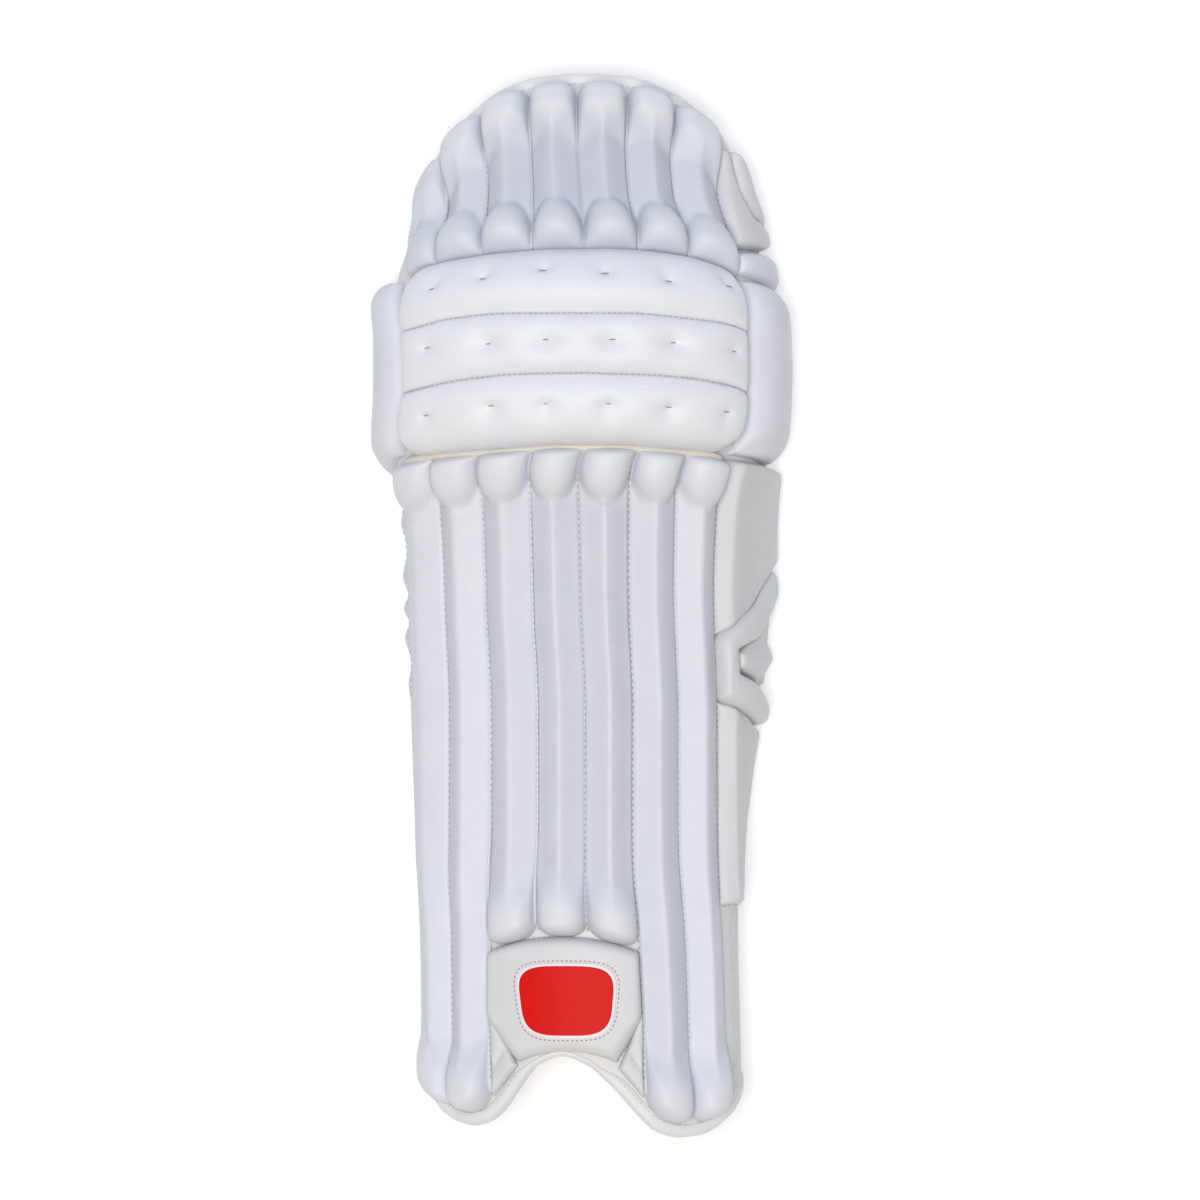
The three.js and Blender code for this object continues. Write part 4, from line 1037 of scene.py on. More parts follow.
class PAD_OT_bolsters(bpy.types.Operator):
    """The three tufted bolsters of the knee roll, filled as cloth"""

    bl_idname = "pad.bolsters"
    bl_label = "Knee Bolsters"

    def execute(self, context):
        pads = settings()
        for order, (name, low, high) in enumerate(BOLSTERS):
            rows, columns = 190, 45
            b = np.linspace(0, 1, rows)[:, None]
            even = np.linspace(0, 1, columns)
            a = mix(even, (1 - np.cos(even * math.pi)) / 2, 0.5)[None, :]
            across, along = bolster_grid(low, high, b, a)
            form = BOLSTER_FORMS[name]
            depth = float(knee_line(high, CANES / 2) - knee_line(low, CANES / 2)) * PAD_LENGTH
            reach = np.minimum(b, 1 - b) * BOLSTER_LENGTH
            ends = bolster_ends(reach)
            crest = pads.bolster_rise
            low_share = mix(form["low"] * MM / crest, 1, round_edge(a * depth, form["low_radius"] * MM))
            high_share = mix(form["high"] * MM / crest, 1,
                             round_edge((1 - a) * depth, form["high_radius"] * MM))
            rise = crest * low_share * high_share * ends - 0.8 * MM * (2 * a - 1) ** 2
            pinned = []
            for share, height in TUFTS[name]:
                gap = np.hypot((b - share) * BOLSTER_LENGTH, (a - height) * depth)
                rise = rise - TUFT_DEPTH * np.exp(-(gap / TUFT_REACH) ** 1.2)
                row, column = int(round(share * (rows - 1))), int(np.argmin(np.abs(a[0] - height)))
                pinned += [(row + k, column) for k in (-1, 0, 1)]
            seam_distance = np.minimum(a, 1 - a) * depth
            pucker = ripple(b * BOLSTER_LENGTH / (7.5 * MM), order * 2.3)
            rise = rise + 0.22 * MM * pucker * np.exp(-seam_distance / (3.5 * MM)) * ends
            for *path, fold, width in BOLSTER_FOLDS[name]:
                run = [(x * BOLSTER_LENGTH, y * depth) for x, y in path]
                near = fold_depth(b * BOLSTER_LENGTH, a * depth, run, width * MM)
                ridge = fold_depth(b * BOLSTER_LENGTH - 1.8 * MM, a * depth, run, 1.6 * width * MM)
                rise = rise - fold * MM * near + 0.4 * fold * MM * ridge
            swell = unevenness(b * BOLSTER_LENGTH, a * depth, 14 * MM, order + 0.9)
            rise = rise + 0.3 * MM * swell * ends
            rise = np.maximum(rise - CREASE_DEPTH * (1 - round_edge(seam_distance, 1.4 * MM)), 0.9 * MM)
            piece = cover(f"knee_bolster_{name}", across, along, rise, level=True)
            inflate(piece, edge_pins(piece, rows, columns, pinned), (1.035, 1.02, 1.02), 5000, 2.2 * MM)
            finish_piece(piece, leather(), [f"knee_roll_{name}"])
        self.strip()
        return {"FINISHED"}

    def strip(self):
        """The cream piping that shows between the lowest bolster and the shin knuckles"""
        b = np.linspace(0.03, 0.97, 160)[:, None]
        a = np.linspace(0, 1, 13)[None, :]
        across = CANES * b + 0 * a
        along = knee_line("foot", across) + mix(-6.5, 0.8, a) * MM / PAD_LENGTH
        ends = round_edge(np.minimum(b, 1 - b) * BOLSTER_LENGTH, 20 * MM)
        rise = mix(2 * MM, STRIP_RISE, dome(a)) * mix(0.4, 1, ends)
        piece = cover("knee_strip", across, along, rise, level=True)
        finish_piece(piece, leather("cream_leather"), [])


# Panels of the wings and gussets: rows from one end to the other, each from one place to another
INNER_HEM = -0.89
OUTER_HEM = OUTER_FOOT - 0.10
PANEL_COLUMNS = "from from_along to to_along"
PANELS = {
    "knee_wing_inner": table(
        PANEL_COLUMNS, (0, 0.640, INNER_HEM, 0.618), (0, 0.700, INNER_HEM, 0.680),
        (0, 0.755, INNER_HEM, 0.740), (0, 0.804, INNER_HEM, 0.800)),
    "knee_wing_outer": table(
        PANEL_COLUMNS, (7, 0.640, OUTER_HEM, 0.631), (7, 0.700, OUTER_HEM, 0.690),
        (7, 0.755, OUTER_HEM, 0.745), (7, 0.806, OUTER_HEM, 0.788)),
    "thigh_wing_puff": table(
        PANEL_COLUMNS, (7, 0.810, OUTER_HEM, 0.793), (7, 0.826, OUTER_HEM, 0.812),
        (7, 0.829, OUTER_HEM, 0.830)),
    "thigh_wing_front": table(
        PANEL_COLUMNS, (7, 0.834, 7.88, 0.835), (7, 0.860, 7.84, 0.8495), (7, 0.868, 7.36, 0.857),
        (7, 0.893, 7.23, 0.882), (7, 0.932, 7.16, 0.926)),
    "thigh_wing_side": table(
        PANEL_COLUMNS, (7.38, 0.8595, 7.82, 0.8525), (7.245, 0.888, 7.62, 0.880),
        (7.17, 0.929, 7.34, 0.920)),
    "shin_wing_upper": table(
        PANEL_COLUMNS, (7, 0.469, OUTER_HEM, 0.538), (7, 0.550, OUTER_HEM, 0.575),
        (7, 0.637, OUTER_HEM, 0.629)),
    "shin_wing_bend": table(
        PANEL_COLUMNS, (OUTER_HEM, 0.536, OUTER_HEM, 0.496), (7.45, 0.504, 7.62, 0.474),
        (7.00, 0.462, 7.14, 0.4545), (7.00, 0.412, 7.15, 0.4375), (7.50, 0.392, 7.64, 0.420),
        (OUTER_HEM, 0.384, OUTER_HEM, 0.412)),
    "shin_wing_pocket": table(
        PANEL_COLUMNS, (7.15, 0.4385, 7.15, 0.4535), (7.33, 0.4320, 7.33, 0.4625),
        (7.52, 0.4255, 7.52, 0.4685), (OUTER_HEM, 0.4145, OUTER_HEM, 0.4935)),
    "shin_wing_lower": table(
        PANEL_COLUMNS, (7, 0.213, OUTER_HEM, 0.222), (7, 0.320, OUTER_HEM, 0.310),
        (7, 0.408, OUTER_HEM, 0.381)),
    "instep_gusset_inner": table(
        PANEL_COLUMNS, (1.86, 0.034, 2.46, 0.064), (1.86, 0.075, 2.19, 0.087),
        (1.86, 0.112, 1.90, 0.113)),
    "instep_gusset_outer": table(
        PANEL_COLUMNS, (4.58, 0.062, 5.09, 0.034), (4.84, 0.087, 5.10, 0.077),
        (5.07, 0.113, 5.10, 0.112)),
}

# Each panel's rise, the rise of its seams, the radius of its rounded edges and how far it may swell when
# it is filled, in mm, its rows and columns of points, and its hide where that isn't the wings' own.
# crest is the share across of a ridge, from which it falls inward and outward by those slopes; bevel is
# the distance in mm of the edge between two flat facets, and foot_rise the hem's height at its lower end.
# folds are points as shares across and along the panel, then the fold's depth and width in mm.
PANEL_FORMS = {
    "knee_wing_inner": {"rise": 13.5, "edge": 15, "rows": 84, "columns": 40, "swell": 2.2,
                        "hide": "cool_white_leather"},
    "knee_wing_outer": {"rise": 13.5, "edge": 16, "rows": 84, "columns": 48, "swell": 2.2,
                        "hide": "cool_white_leather",
                        "folds": (((0.0, 0.05), (0.22, 0.11), (0.5, 0.13), 2.2, 2.6),
                                  ((0.05, 0.92), (0.2, 0.86), (0.42, 0.84), 1.2, 2.0))},
    "thigh_wing_puff": {"rise": 11.5, "edge": 9, "rows": 26, "columns": 48, "swell": 1.5,
                        "hide": "cool_white_leather"},
    "thigh_wing_front": {"rise": 11, "seam": 5, "edge": 5, "rows": 60, "columns": 30, "swell": 0.5},
    "thigh_wing_side": {"rise": 13, "seam": 7, "edge": 4, "rows": 50, "columns": 30, "swell": 0.5,
                        "crest": 0.42, "inward": 0.35, "outward": 0.30},
    "shin_wing_upper": {"rise": 15, "foot_rise": 15, "seam": 9.5, "edge": 5, "rows": 84, "columns": 60,
                        "swell": 0.5, "bevel": 9},
    "shin_wing_bend": {"rise": 15.5, "seam": 9.5, "edge": 5, "rows": 120, "columns": 36, "swell": 0.3,
                       "crest": 0.5, "inward": 0.10, "outward": 0.36, "wrinkles": 0.4},
    "shin_wing_pocket": {"rise": 14, "seam": 9.5, "edge": 2.5, "rows": 44, "columns": 44, "swell": 0.3,
                         "crest": 0.45, "inward": 0.55, "outward": 0.55},
    "shin_wing_lower": {"rise": 11, "foot_rise": 5, "seam": 6, "edge": 5, "rows": 100, "columns": 56,
                        "swell": 0.5, "bevel": 9},
    "instep_gusset_inner": {"rise": 6.5, "seam": 4, "edge": 3.5, "rows": 44, "columns": 40, "swell": 0.4,
                            "hide": "instep_white_leather",
                            "folds": (((0.02, 0.30), (0.5, 0.34), (0.95, 0.42), 1.8, 4.5),)},
    "instep_gusset_outer": {"rise": 6.5, "seam": 4, "edge": 3.5, "rows": 44, "columns": 40, "swell": 0.4,
                            "hide": "instep_white_leather",
                            "folds": (((0.05, 0.42), (0.5, 0.34), (0.98, 0.30), 1.8, 4.5),)},
}


def panel_grid(rows_of, b, a):
    """Places across and along for shares b of a panel's length and a of its width."""
    at = np.linspace(0, 1, len(rows_of["from"]))
    numbered = {**rows_of, "at": at}
    read = {name: smooth_column(numbered, name, b) for name in rows_of}
    return mix(read["from"], read["to"], a), mix(read["from_along"], read["to_along"], a)


def panel_distances(points):
    """How far each point of a grid lies in from its four sides, measured over the surface."""
    step_a = np.linalg.norm(np.diff(points, axis=1), axis=-1)
    from_a = np.concatenate([np.zeros((len(points), 1)), np.cumsum(step_a, axis=1)], axis=1)
    to_a = from_a[:, -1:] - from_a
    step_b = np.linalg.norm(np.diff(points, axis=0), axis=-1)
    from_b = np.concatenate([np.zeros((1, points.shape[1])), np.cumsum(step_b, axis=0)], axis=0)
    to_b = from_b[-1:, :] - from_b
    return from_a, to_a, from_b, to_b


CREST_SOFTNESS = 1.6 * MM
BEVEL_RISE = 11.5 * MM
FACET_START = 4 * MM


def panel_base(form, from_a):
    """Height of a panel's seams: low beside the canes, and on one bed of foam between two panels."""
    return mix(SEAM_RISE, form.get("seam", SEAM_RISE / MM) * MM, smoothstep(0, 9 * MM, from_a))


def facet_rise(across, along, from_a, form):
    """Height off the backing of two facets, flat in each row's section, that meet at a bevel line."""
    surface = surface_points(across, along)[..., ::2]
    normal = surface_normals(across, along)[..., ::2]
    heights = np.empty(from_a.shape)
    for j, reach in enumerate(from_a):
        at_bevel = form["bevel"] * MM
        spot = np.array([np.interp(at_bevel, reach, surface[j, :, k]) for k in (0, 1)])
        out = np.array([np.interp(at_bevel, reach, normal[j, :, k]) for k in (0, 1)])
        edge = spot + out * BEVEL_RISE
        start = surface[j, 0] + normal[j, 0] * FACET_START
        hem_rise = mix(form["foot_rise"], form["rise"], j / (len(heights) - 1)) * MM
        hem = surface[j, -1] + normal[j, -1] * hem_rise
        facets = []
        for low, high in ((start, edge), (edge, hem)):
            square = np.array([low[1] - high[1], high[0] - low[0]])
            facets.append(((low - surface[j]) @ square) / (normal[j] @ square))
        heights[j] = soft_min(*facets, 0.6 * MM)
    return np.clip(heights, FACET_START, 22 * MM)


def panel_cover(name):
    """One panel of a wing or a gusset, filled as cloth."""
    form = PANEL_FORMS[name]
    rows, columns = form["rows"], form["columns"]
    b = np.linspace(0.004, 0.996, rows)[:, None]
    even = np.linspace(0.004, 0.996, columns)
    a = mix(even, (1 - np.cos(even * math.pi)) / 2, 0.35)[None, :]
    across, along = panel_grid(PANELS[name], b, a)
    from_a, to_a, from_b, to_b = panel_distances(surface_points(across, along))
    radius = form["edge"] * MM
    side = round_edge(np.minimum(from_a, to_a), np.minimum(radius, (from_a + to_a) / 2 + 1e-6))
    end = round_edge(np.minimum(from_b, to_b), np.minimum(radius, (from_b + to_b) / 2 + 1e-6))
    share = side * end
    base = panel_base(form, from_a)
    rise = base + (form["rise"] * MM - base) * share
    if "bevel" in form:
        # The front facet rises from the cane seam to a crisp edge, and the side facet falls to the hem.
        rise = base + (facet_rise(across, along, from_a, form) - base) * share
    if "crest" in form:
        past = from_a - form["crest"] * (from_a + to_a)
        slope = np.where(past < 0, form["inward"], form["outward"])
        fall = slope * (np.hypot(past, CREST_SOFTNESS) - CREST_SOFTNESS)
        rise = np.maximum(rise - fall * share, base)
    wide, long = float((from_a + to_a).max()), float((from_b + to_b).max())
    if "wrinkles" in form:
        fold = ripple(from_b / (2.6 * MM), 1.1) * np.exp(-((b - 0.46) / 0.16) ** 2)
        rise = rise + form["wrinkles"] * MM * fold * share * np.exp(-(from_a / (11 * MM)) ** 2)
    for *path, depth, width in form.get("folds", ()):
        run = [(x * wide, y * long) for x, y in path]
        rise = rise - depth * MM * fold_depth(a * wide, b * long, run, width * MM) * share
    rise = rise + 0.25 * MM * unevenness(from_a, from_b, 16 * MM, len(name) * 0.37) * share
    nearest = np.minimum(np.minimum(from_a, to_a), np.minimum(from_b, to_b))
    rise = mix(base - 1.6 * MM, rise, round_edge(nearest, 1.2 * MM))
    piece = cover(name + "_cover", across, along, rise)
    inflate(piece, edge_pins(piece, rows, columns), (1.02, 1.02, 1.02), 4000, form["swell"] * MM)
    hide = leather(form.get("hide", "wing_white_leather"))
    finish_piece(piece, hide, [name])


class PAD_OT_wings(bpy.types.Operator):
    """The side wings beside the thigh, the knee and the shin"""

    bl_idname = "pad.wings"
    bl_label = "Side Wings"

    def execute(self, context):
        for name in PANELS:
            if not name.startswith("instep"):
                panel_cover(name)
        return {"FINISHED"}


INSTEP_ROWS = table(
    "at inner outer along",
    (0.00, 0.00, 0.00, INSTEP_TOP),
    (0.25, 0.00, 0.00, 0.145),
    (0.50, 0.00, 0.00, 0.118),
    (0.75, 0.28, 0.24, 0.096),
    (1.00, 0.66, 0.56, 0.074),
)


ARCH_BOW = 0.0105
ARCH_DROP = 0.0064


def instep_grid(b, a):
    """Places across and along for shares b down the instep panel and a of its width."""
    level = smooth_column(INSTEP_ROWS, "along", b)
    start = seam_across(INSTEP_SEAMS[0], level) + smooth_column(INSTEP_ROWS, "inner", b)
    finish = seam_across(INSTEP_SEAMS[1], level) - smooth_column(INSTEP_ROWS, "outer", b)
    bow = mix(INSTEP_BOW, 0, np.clip(b * 2, 0, 1)) + mix(0, ARCH_BOW, np.clip(b * 2 - 1, 0, 1))
    return mix(start, finish, a), level + bow * (1 - (2 * a - 1) ** 2) - ARCH_DROP * b


BADGE_MIDDLE = (3.58, 0.126)
BADGE_WIDTH = 55 * MM
BADGE_LENGTH = 45.5 * MM
BADGE_SQUARENESS = 0.55
BADGE_FLARE = 0.16
INSTEP_RISE = 13 * MM


def badge_outline(count, grow=0.0):
    """Points round the badge in metres from its middle, wider above than below."""
    turn = np.linspace(0, 2 * math.pi, count, endpoint=False)

    def power(value):
        return np.sign(value) * np.abs(value) ** BADGE_SQUARENESS

    y = power(np.sin(turn)) * (BADGE_LENGTH / 2 + grow)
    x = power(np.cos(turn)) * (BADGE_WIDTH / 2 + grow) * (1 + BADGE_FLARE * y / BADGE_LENGTH)
    return x, y


def cane_pitch():
    """Width of a cane at the badge."""
    middle, along = BADGE_MIDDLE
    ends = surface_points(np.array([middle - 0.5, middle + 0.5]), np.array([along, along]))
    return float(np.linalg.norm(ends[1] - ends[0]))


def on_badge(x, y, rise):
    """Points at x and y metres from the badge's middle, raised off the backing."""
    across = BADGE_MIDDLE[0] + np.asarray(x) / cane_pitch()
    along = BADGE_MIDDLE[1] + np.asarray(y) / PAD_LENGTH
    return raised_points(across, along, np.broadcast_to(rise, across.shape))


class PAD_OT_instep(bpy.types.Operator):
    """The instep panel, its gussets and the blank plate sewn on it"""

    bl_idname = "pad.instep"
    bl_label = "Instep"

    def execute(self, context):
        for name in ("instep_gusset_inner", "instep_gusset_outer"):
            panel_cover(name)
        rows, columns = 66, 80
        b = np.linspace(0, 1, rows)[:, None]
        a = np.linspace(0.004, 0.996, columns)[None, :]
        across, along = instep_grid(b, a)
        from_a, to_a, from_b, to_b = panel_distances(surface_points(across, along))
        bevel = mix(5 * MM, 9 * MM, smoothstep(0.4, 0.8, b))
        share = round_edge(np.minimum(from_a, to_a), bevel)
        share = share * round_edge(np.minimum(from_b, to_b), 7 * MM)
        rise = SEAM_RISE + (INSTEP_RISE - SEAM_RISE) * share
        rise = rise + 0.15 * MM * unevenness(from_a, from_b, 15 * MM, 2.2) * share
        piece = cover("instep_panel_cover", across, along, rise, bowed=True)
        finish_piece(piece, leather("instep_white_leather"), ["instep_panel"])
        self.badge()
        return {"FINISHED"}

    def plate(self, name, grow, low, high, material, nodes):
        """A curved plate with rounded edges: a ring in the badge's outline, filled inwards ring by ring"""
        count = 96
        bpy.ops.object.select_all(action="DESELECT")
        bpy.ops.mesh.primitive_circle_add(vertices=count, radius=1, fill_type="NOTHING")
        piece = bpy.context.object
        piece.name = piece.data.name = name
        x, y = badge_outline(count, grow)
        for vertex, px, py in zip(piece.data.vertices, x, y):
            vertex.co = (px, py, 0)
        bpy.ops.object.mode_set(mode="EDIT")
        bpy.ops.mesh.select_all(action="SELECT")
        sizes = [1, *np.linspace(0.95, 0.05, 15)]
        for outer, inner in zip(sizes[:-1], sizes[1:]):
            bpy.ops.mesh.extrude_region_move()
            bpy.ops.transform.resize(value=(inner / outer, inner / outer, 1), center_override=(0, 0, 0))
        bpy.ops.mesh.edge_face_add()
        bpy.ops.mesh.select_all(action="SELECT")
        bpy.ops.mesh.normals_make_consistent(inside=False)
        bpy.ops.object.mode_set(mode="OBJECT")
        solid = piece.modifiers.new("thickness", "SOLIDIFY")
        solid.thickness = high - low
        bpy.ops.object.modifier_apply(modifier="thickness")
        bevel = piece.modifiers.new("edge", "BEVEL")
        bevel.width = min(0.45 * MM, (high - low) * 0.4)
        bevel.segments = 3
        bevel.limit_method = "ANGLE"
        bevel.angle_limit = math.radians(50)
        bpy.ops.object.modifier_apply(modifier="edge")
        flat = np.array([v.co for v in piece.data.vertices])
        heights = low + flat[:, 2] - flat[:, 2].min()
        placed = on_badge(flat[:, 0], flat[:, 1], heights)
        piece.data.vertices.foreach_set("co", placed.ravel())
        piece.data.polygons.foreach_set("use_smooth", np.ones(len(piece.data.polygons), bool))
        piece.data.update()
        outward(piece)
        bpy.ops.object.shade_smooth_by_angle(angle=math.radians(40))
        finish_piece(piece, material, nodes)

    def badge(self):
        """The plain red plate and the pale edge under it"""
        red = moulded_badge("moulded_red", list(settings().badge_colour))
        white = synthetic_leather("white_badge_edge", [linear("#f0f0f1")[:3]] * 3, 0.4, 1.2, 0.1)
        top = INSTEP_RISE
        self.plate("badge_edge", 1.9 * MM, top + 0.2 * MM, top + 1.2 * MM, white, [])
        self.plate("badge_face", 0.0, top + 1.0 * MM, top + 1.9 * MM, red, ["badge_plate"])


# How each seam is sewn, in mm: distance from one stitch to the next, thread that shows, its thickness.
# None is the pitch of the settings.
SEWING = {
    "cane": (None, 1.5, 0.7), "plain_cane": (None, 2.4, 0.8), "thigh": (None, 1.5, 0.6),
    "wing": (None, 1.9, 0.65), "panel": (3.4, 2.1, 0.75), "bolster": (3.6, 2.2, 0.7),
    "bolster_end": (4.0, 2.0, 0.7), "tuft": (4.8, 5.4, 0.8), "inner_edge": (4.6, 2.2, 0.65),
    "outer_edge": (3.6, 2.0, 0.6), "rim": (3.8, 1.8, 0.55), "badge": (3.0, 1.9, 0.75),
}


def stitch_shape():
    """One stitch: a thread with sunk ends, lying along X, in shares of its length and thickness."""
    found = bpy.data.meshes.get("stitch_shape")
    if found:
        return found
    bpy.ops.object.select_all(action="DESELECT")
    bpy.ops.mesh.primitive_uv_sphere_add(segments=8, ring_count=5, radius=0.5,
                                         rotation=(0, math.pi / 2, 0))
    model = bpy.context.object
    bpy.ops.object.transform_apply(location=False, rotation=True, scale=False)
    bpy.ops.object.mode_set(mode="EDIT")
    bpy.ops.mesh.select_all(action="SELECT")
    bpy.ops.mesh.normals_make_consistent(inside=False)
    bpy.ops.object.mode_set(mode="OBJECT")
    mesh = model.data
    for vertex in mesh.vertices:
        vertex.co.z -= 0.25 * (2 * vertex.co.x) ** 4
    mesh.name = "stitch_shape"
    mesh.use_fake_user = True
    bpy.data.objects.remove(model)
    return mesh


def stitch_run(name, places, rises, material, seam, closed=False, level=False):
    """A row of stitches along places across and along, each at its height off the backing."""
    pitch, length, width = (None if size is None else size * MM for size in SEWING[seam])
    pitch = pitch or settings().stitch_pitch
    across, along = (np.asarray(values, float) for values in places)
    rises = np.broadcast_to(np.asarray(rises, float), across.shape)
    if closed:
        across, along, rises = (np.append(values, values[0]) for values in (across, along, rises))
    line = raised_points(across, along, rises, level)
    travel = np.concatenate([[0], np.cumsum(np.linalg.norm(np.diff(line, axis=0), axis=1))])
    count = max(int(travel[-1] / pitch), 1)
    stops = (np.arange(count) + 0.5) * travel[-1] / count
    shape = stitch_shape()
    model = np.array([v.co for v in shape.vertices])
    polygons = [tuple(p.vertices) for p in shape.polygons]
    points, faces = [], []
    for k, stop in enumerate(stops):
        a, c = (np.interp(stop, travel, values) for values in (across, along))
        lift = np.interp(stop, travel, rises)
        ahead = np.array([np.interp(stop + 0.4 * pitch, travel, line[:, axis]) for axis in range(3)])
        behind = np.array([np.interp(stop - 0.4 * pitch, travel, line[:, axis]) for axis in range(3)])
        heading = ahead - behind
        heading /= max(np.linalg.norm(heading), 1e-9)
        up = surface_normals(a, c)
        up = up - heading * up.dot(heading)
        up /= np.linalg.norm(up)
        sideways = np.cross(up, heading)
        uneven = 1 + 0.08 * math.sin(k * 12.9898 + len(name))
        spot = raised_points(a, c, lift, level)
        base = len(points) * len(model)
        points.append(spot + model[:, :1] * length * uneven * heading
                      + model[:, 1:2] * width * sideways + model[:, 2:] * width * up)
        faces += [tuple(base + v for v in polygon) for polygon in polygons]
    piece = mesh_object(name, np.concatenate(points), faces)
    finish_piece(piece, material, [])
    return piece


class PAD_OT_stitches(bpy.types.Operator):
    """The stitching along the seams, round the panels and in the tufts"""

    bl_idname = "pad.stitches"
    bl_label = "Stitching"

    def execute(self, context):
        thread = white_thread()
        grey = sewing_thread("grey_thread", linear("#b4b4b6"))
        for number in range(1, CANES):
            along = np.linspace(0.19 if number in (3, 4) else 0.05, 0.632, 140)
            plain = number in (4, 5)
            stitch_run(f"shin_stitches_{number}", (seam_across(number, along), along), 3.3 * MM,
                       grey if plain else thread, "plain_cane" if plain else "cane")
            along = np.linspace(0.840, 0.955, 40)
            stitch_run(f"thigh_stitches_{number}", (seam_across(number, along), along), 3.2 * MM,
                       thread, "thigh")
        self.knee(thread, grey)
        self.wings(thread, grey)
        self.instep(grey)
        return {"FINISHED"}

    def knee(self, thread, grey):
        """The seams between and beside the bolsters, and their tufts"""
        b = np.linspace(0.01, 0.99, 150)
        for name, low, high in BOLSTERS[:2]:
            across, along = bolster_grid(low, high, b, np.ones_like(b))
            level = BOLSTER_SEAM_RISE * bolster_ends(np.minimum(b, 1 - b) * BOLSTER_LENGTH)
            stitch_run(f"knee_stitches_{name}", (across, along), level, thread, "bolster", level=True)
        a = np.linspace(0.06, 0.94, 30)
        dark = sewing_thread("tuft_thread", linear("#979592"))
        for name, low, high in BOLSTERS:
            for side, end in (("inner", 0.0), ("outer", 1.0)):
                across, along = bolster_grid(low, high, np.full_like(a, end), a)
                stitch_run(f"knee_end_stitches_{name}_{side}", (across, along), 5.0 * MM, grey,
                           "bolster_end")
            for k, (share, height) in enumerate(TUFTS[name]):
                b = share + np.array([-TUFT_HALF, TUFT_HALF]) / BOLSTER_LENGTH
                across, along = bolster_grid(low, high, b, np.full(2, height))
                crest = settings().bolster_rise
                top = crest * bolster_ends(min(share, 1 - share) * BOLSTER_LENGTH)
                stitch_run(f"tuft_{name}_{k + 1}", (across, along), top - TUFT_DEPTH + 0.95 * MM, dark,
                           "tuft", level=True)

    def wings(self, thread, grey):
        """The seams beside and between the wings' panels, and those along the rim"""
        for name, start, finish in (("shin_wing", 0.22, 0.632), ("thigh_wing", 0.836, 0.925)):
            along = np.linspace(start, finish, 80)
            stitch_run(f"{name}_stitches", (np.full_like(along, CANES), along), 3.1 * MM, grey, "wing")
        # panel, its edge that is sewn, as an end (0 or 1 along it) or a side, and how far the seam runs
        for name, end, side, finish in (
                ("shin_wing_upper", 0, None, 0.85), ("shin_wing_lower", 1, None, 0.85),
                ("shin_wing_lower", 0, None, 0.30), ("thigh_wing_puff", 1, None, 0.85),
                ("shin_wing_pocket", None, 0, 0.85), ("thigh_wing_side", None, 0, 0.85)):
            run = np.linspace(0.03, finish, 60)
            b, a = (np.full(60, float(end)), run) if side is None else (run, np.full(60, float(side)))
            across, along = panel_grid(PANELS[name], b, a)
            reach = np.full(60, 9 * MM)
            if side is None:
                spots = surface_points(across, along)
                reach = np.linalg.norm(spots - spots[0], axis=1)
            stitch_run(f"{name}_stitches_{'side' if end is None else end}", (across, along),
                       panel_base(PANEL_FORMS[name], reach) - 0.6 * MM, grey, "panel")
        along = np.linspace(0.41, 0.61, 50)
        stitch_run("inner_edge_stitches", (np.full_like(along, -0.30), along), 0.3 * MM, thread,
                   "inner_edge")
        along = np.linspace(0.06, 0.205, 40)
        stitch_run("outer_edge_stitches", (np.full_like(along, 7.16), along), 0.3 * MM, thread,
                   "outer_edge")
        tape = TAPE_WIDTH / PAD_LENGTH
        across = np.linspace(-0.6, 7.6, 160)
        along = smooth_column(RIM_TOP, "along", across) - tape
        stitch_run("top_rim_stitches", (across, along), 1.1 * MM, thread, "rim")
        for side, start, finish in (("inner", -0.6, 2.4), ("outer", 4.5, 7.6)):
            across = np.linspace(start, finish, 80)
            along = smooth_column(RIM_BOTTOM, "along", across) + tape
            stitch_run(f"toe_rim_stitches_{side}", (across, along), 1.1 * MM, thread, "rim")

    def instep(self, thread):
        """The seams round the instep panel and the badge"""
        b = np.linspace(0.03, 1, 50)
        for side, edge in (("inner", 0.0), ("outer", 1.0)):
            across, along = instep_grid(b, np.full(50, edge))
            stitch_run(f"instep_stitches_{side}", (across, along), 2.9 * MM, thread, "panel")
        a = np.linspace(0.03, 0.97, 50)
        across, along = instep_grid(np.zeros(50), a)
        stitch_run("instep_stitches_top", (across, along), 2.9 * MM, thread, "panel")
        x, y = badge_outline(160, 3.3 * MM)
        across = BADGE_MIDDLE[0] + x / cane_pitch()
        along = BADGE_MIDDLE[1] + y / PAD_LENGTH
        pink = sewing_thread("pink_red_thread", linear("#d0808a"))
        stitch_run("badge_stitches", (across, along), INSTEP_RISE + 0.3 * MM, pink, "badge",
                   closed=True)


# Webbing of the straps: its thickness, the rounding of its edges and its clearance at either end
WEBBING_THICKNESS = 1.3 * MM
WEBBING_EDGE = 0.4 * MM
WEBBING_CLEARANCE = 0.3 * MM


